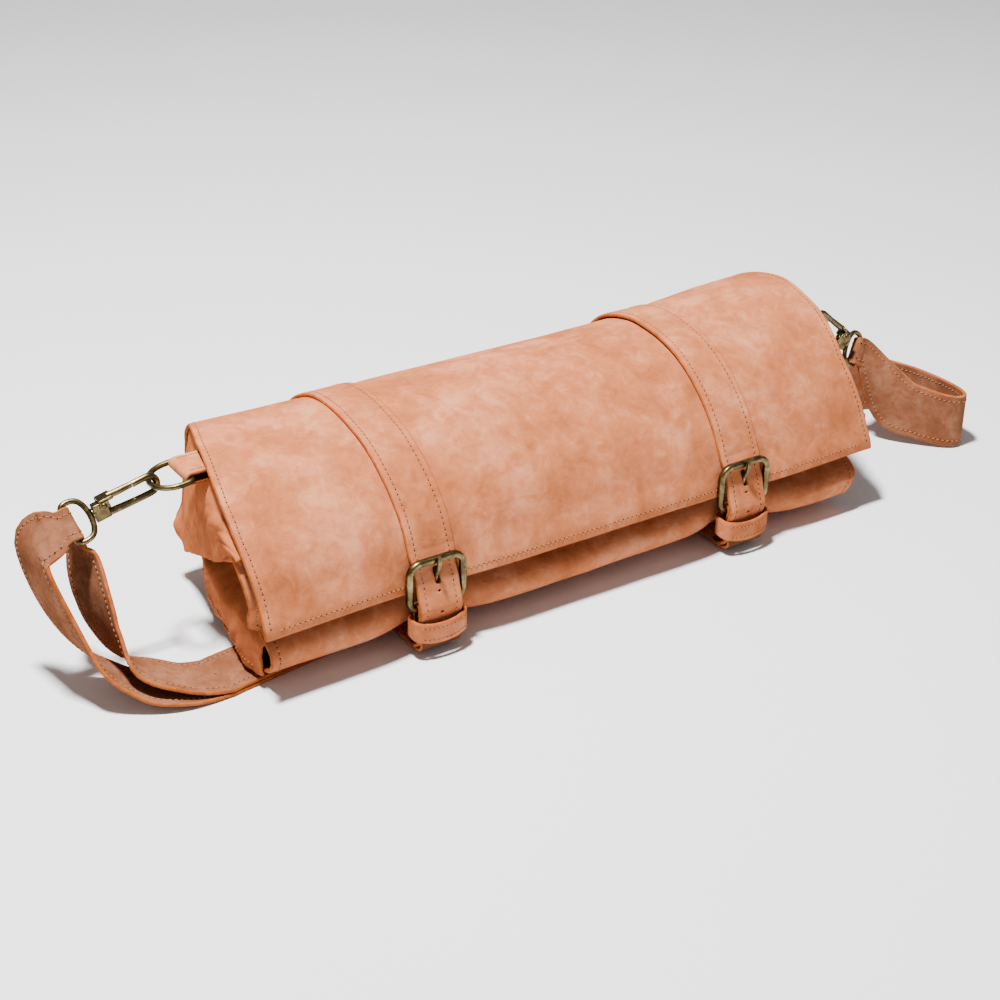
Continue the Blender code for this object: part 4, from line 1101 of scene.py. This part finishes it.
def left_end(matrix):
    """Stations up to the left eye, round its bar and back down to the lower run."""
    bar, out, bar_across = eye_wrap(-1, matrix)
    upper = bar_across.cross(out)
    if upper.z < 0:
        upper = -upper
    reach, diagonal, narrow, full = EYE_REACH, EYE_REACH * sqrt(0.5), EYE_INSIDE, BELT_WIDTH
    along, across, _ = belt_frame()
    low = belt_point(BELT_LEFT[0], BELT_LOWER_Z)
    return [
        (belt_point(BELT_LEFT[0], BELT_UPPER_Z) - along * 0.014 + Vector((0, 0, 0.0004)), across, full),
        ((-0.265, -0.043, 0.0085), across, full),
        ((-0.286, -0.03, 0.018), (-0.1, 1, 0.05), full),
        ((-0.2955, -0.016, 0.036), (-0.2, 1, 0.1), full),
        ((-0.2985, -0.0065, 0.0565), (-0.2, 1, 0.1), full),
        ((-0.298, 0.008, 0.08), (-0.1, 1, 0.7), full * 0.8),
        (bar - out * (reach + 0.0002) - upper * 0.006, bar_across, narrow),
        (bar - out * reach, bar_across, narrow),
        (bar + (upper - out) * diagonal, bar_across, narrow),
        (bar + upper * reach, bar_across, narrow),
        (bar + out * 0.005 + upper * (reach + 0.0015), bar_across, narrow),
        (bar + out * 0.013 + upper * 0.006, (0.0, 1, 0.7), full * 0.8),
        ((-0.327, 0.004, 0.0865), (-0.1, 1, 0.2), full),
        ((-0.3215, -0.0065, 0.0565), (-0.2, 1, 0.1), full),
        ((-0.308, -0.0225, 0.026), (-0.15, 1, 0.15), full),
        ((-0.288, -0.0365, 0.0085), (0.0, 1, 0.02), full),
        ((-0.268, -0.046, 0.0034), across, full),
        (low - along * 0.016 + Vector((0, 0, 0.0003)), across, full),
        (low, across, full),
        (belt_point(-0.1, BELT_LOWER_Z), across, full),
        (belt_point(0.1, BELT_LOWER_Z), across, full),
        (belt_point(0.216, BELT_LOWER_Z), across, full),
    ]


def make_belt(left, right):
    """The one long strap, from its sewn end on the right eye to the slider's lower layer."""
    stations = right_end(right) + upper_run() + left_end(left)
    panel = Panel(ribbon_grid(stations, 6), BELT_THICKNESS, outside=BELT_THICKNESS / 2)
    for edge in LEFT_RIGHT:
        path = panel.inset_path(edge, 0.0036)
        panel.stitch(path, trim=0.004)
        panel.stitch([(p, -n) for p, n in path], trim=0.004)
    settle(
        panel.finish("shoulder_strap", BELT_LEATHERS), "case", "nubuck",
        "strap_left_loop", "strap_lower_run", "strap_upper_run",
        "strap_through_slider", "strap_right_strand",
    )


def make_slider_fold():
    """The end of the strap's lower layer, folded round the slider's middle bar."""
    along, across, middle = belt_frame()
    line = [(-0.04, BELT_LOWER_Z), (-0.023, BELT_LOWER_Z), (-0.0095, BELT_LOWER_Z + 0.0002)]
    line.append((-0.004, SLIDER_Z - SLIDER_REACH - 0.0002))
    for a in steps(0, pi, 8):
        line.append((SLIDER_REACH * sin(a), SLIDER_Z - SLIDER_REACH * cos(a)))
    line.append((-0.004, SLIDER_Z + SLIDER_REACH))
    fold = [(middle + along * px + Vector((0, 0, pz)), across, BELT_WIDTH) for px, pz in line]
    panel = Panel(ribbon_grid(fold, 3), BELT_THICKNESS, outside=BELT_THICKNESS / 2, flip=True)
    panel.stitch_sides(0.0036, 0.002)
    piece = panel.finish("slider_fold_leather", BELT_LEATHERS)
    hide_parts("slider_fold")
    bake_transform(piece)


def make_slider():
    """A flat three-bar slider of brass wire."""
    along = belt_direction()
    turn = Matrix.Rotation(atan2(along.y, along.x), 4, "Z")
    turn = Matrix.Translation(belt_point(SLIDER_X, SLIDER_Z)) @ turn
    half = BELT_WIDTH / 2 + 0.0033
    bm = bmesh.new()
    loop = [turn @ Vector((px, py, 0)) for px, py in rounded_rectangle(SLIDER_PITCH, -half, half, 0.003)]
    sweep(bm, loop, SLIDER_BAR, closed=True, sides=12, power=2.5)
    sweep(bm, [turn @ Vector((0, -half, 0)), turn @ Vector((0, half, 0))], SLIDER_BAR, sides=12)
    brass("slider_brass", bm, "slider", "strap_slider")


# --- Stage ---


# The photo's view, fitted to the object's outline: angles in degrees, place in metres.
VIEW_AZIMUTH, VIEW_ELEVATION, VIEW_ROLL, VIEW_LENS = 33.217, 28.279, 0.571, 69.84
VIEW_PLACE = (-0.6233, -0.9263, 0.6297)
# Each area light's name, place, size in metres and power in watts.
LIGHTS = (("key", (-0.42, -0.06, 1.78), 0.18, 120.0), ("fill", (1.3, -1.6, 1.2), 1.4, 1.5))
WORLD_STRENGTH = 0.3


def make_stage():
    bm = bmesh.new()
    bmesh.ops.create_grid(bm, x_segments=1, y_segments=1, size=6.0)
    paper = Surface("pale_floor", 0.9, specular=0.1)
    tone = paper.ramp(paper.noise(3.0), ((0.3, (0.78, 0.78, 0.78)), (0.7, (0.795, 0.795, 0.795))))
    floor = make_object("floor", bm, [paper.finish(tone)])
    floor.location.z = -0.0002
    world = bpy.data.worlds.new("studio")
    bpy.context.scene.world = world
    world.use_nodes = True
    background = world.node_tree.nodes["Background"]
    background.inputs["Color"].default_value = (1.0, 1.0, 1.0, 1.0)
    background.inputs["Strength"].default_value = WORLD_STRENGTH
    for name, place, size, power in LIGHTS:
        light = bpy.data.lights.new(name, "AREA")
        light.size = size
        light.energy = power
        lamp = add_object(name, light)
        lamp.location = place
        lamp.rotation_euler = (Vector((0, 0, 0.05)) - Vector(place)).to_track_quat("-Z", "Y").to_euler()


def make_camera():
    azimuth, elevation, roll = (radians(a) for a in (VIEW_AZIMUTH, VIEW_ELEVATION, VIEW_ROLL))
    right = Vector((cos(azimuth), -sin(azimuth), 0))
    look = Vector((sin(azimuth) * cos(elevation), cos(azimuth) * cos(elevation), -sin(elevation)))
    up = right.cross(look)
    turned = right * cos(roll) + up * sin(roll)
    up = turned.cross(look)
    data = bpy.data.cameras.new("camera")
    data.lens = VIEW_LENS
    data.sensor_width = 36.0
    camera = add_object("camera", data)
    turn = Matrix((turned, up, -look)).transposed().to_4x4()
    camera.matrix_world = Matrix.Translation(VIEW_PLACE) @ turn
    bpy.context.scene.camera = camera


def main():
    make_camera()
    make_stage()
    make_flap()
    make_shell()
    make_inner_panels()
    make_wings()
    frames = {}
    for side, word in WORDS.items():
        x = side * STRAP_X
        make_closure_strap(word, x)
        make_chape(word, x)
        make_keeper(word, x)
        make_buckle(word, x)
        make_tab(word, side)
        make_ring(word, side)
        frames[side] = hook_frame(side)
        make_hook(word, frames[side])
        make_eye(word, side, frames[side])
    make_belt(frames[-1], frames[1])
    make_slider_fold()
    make_slider()


main()
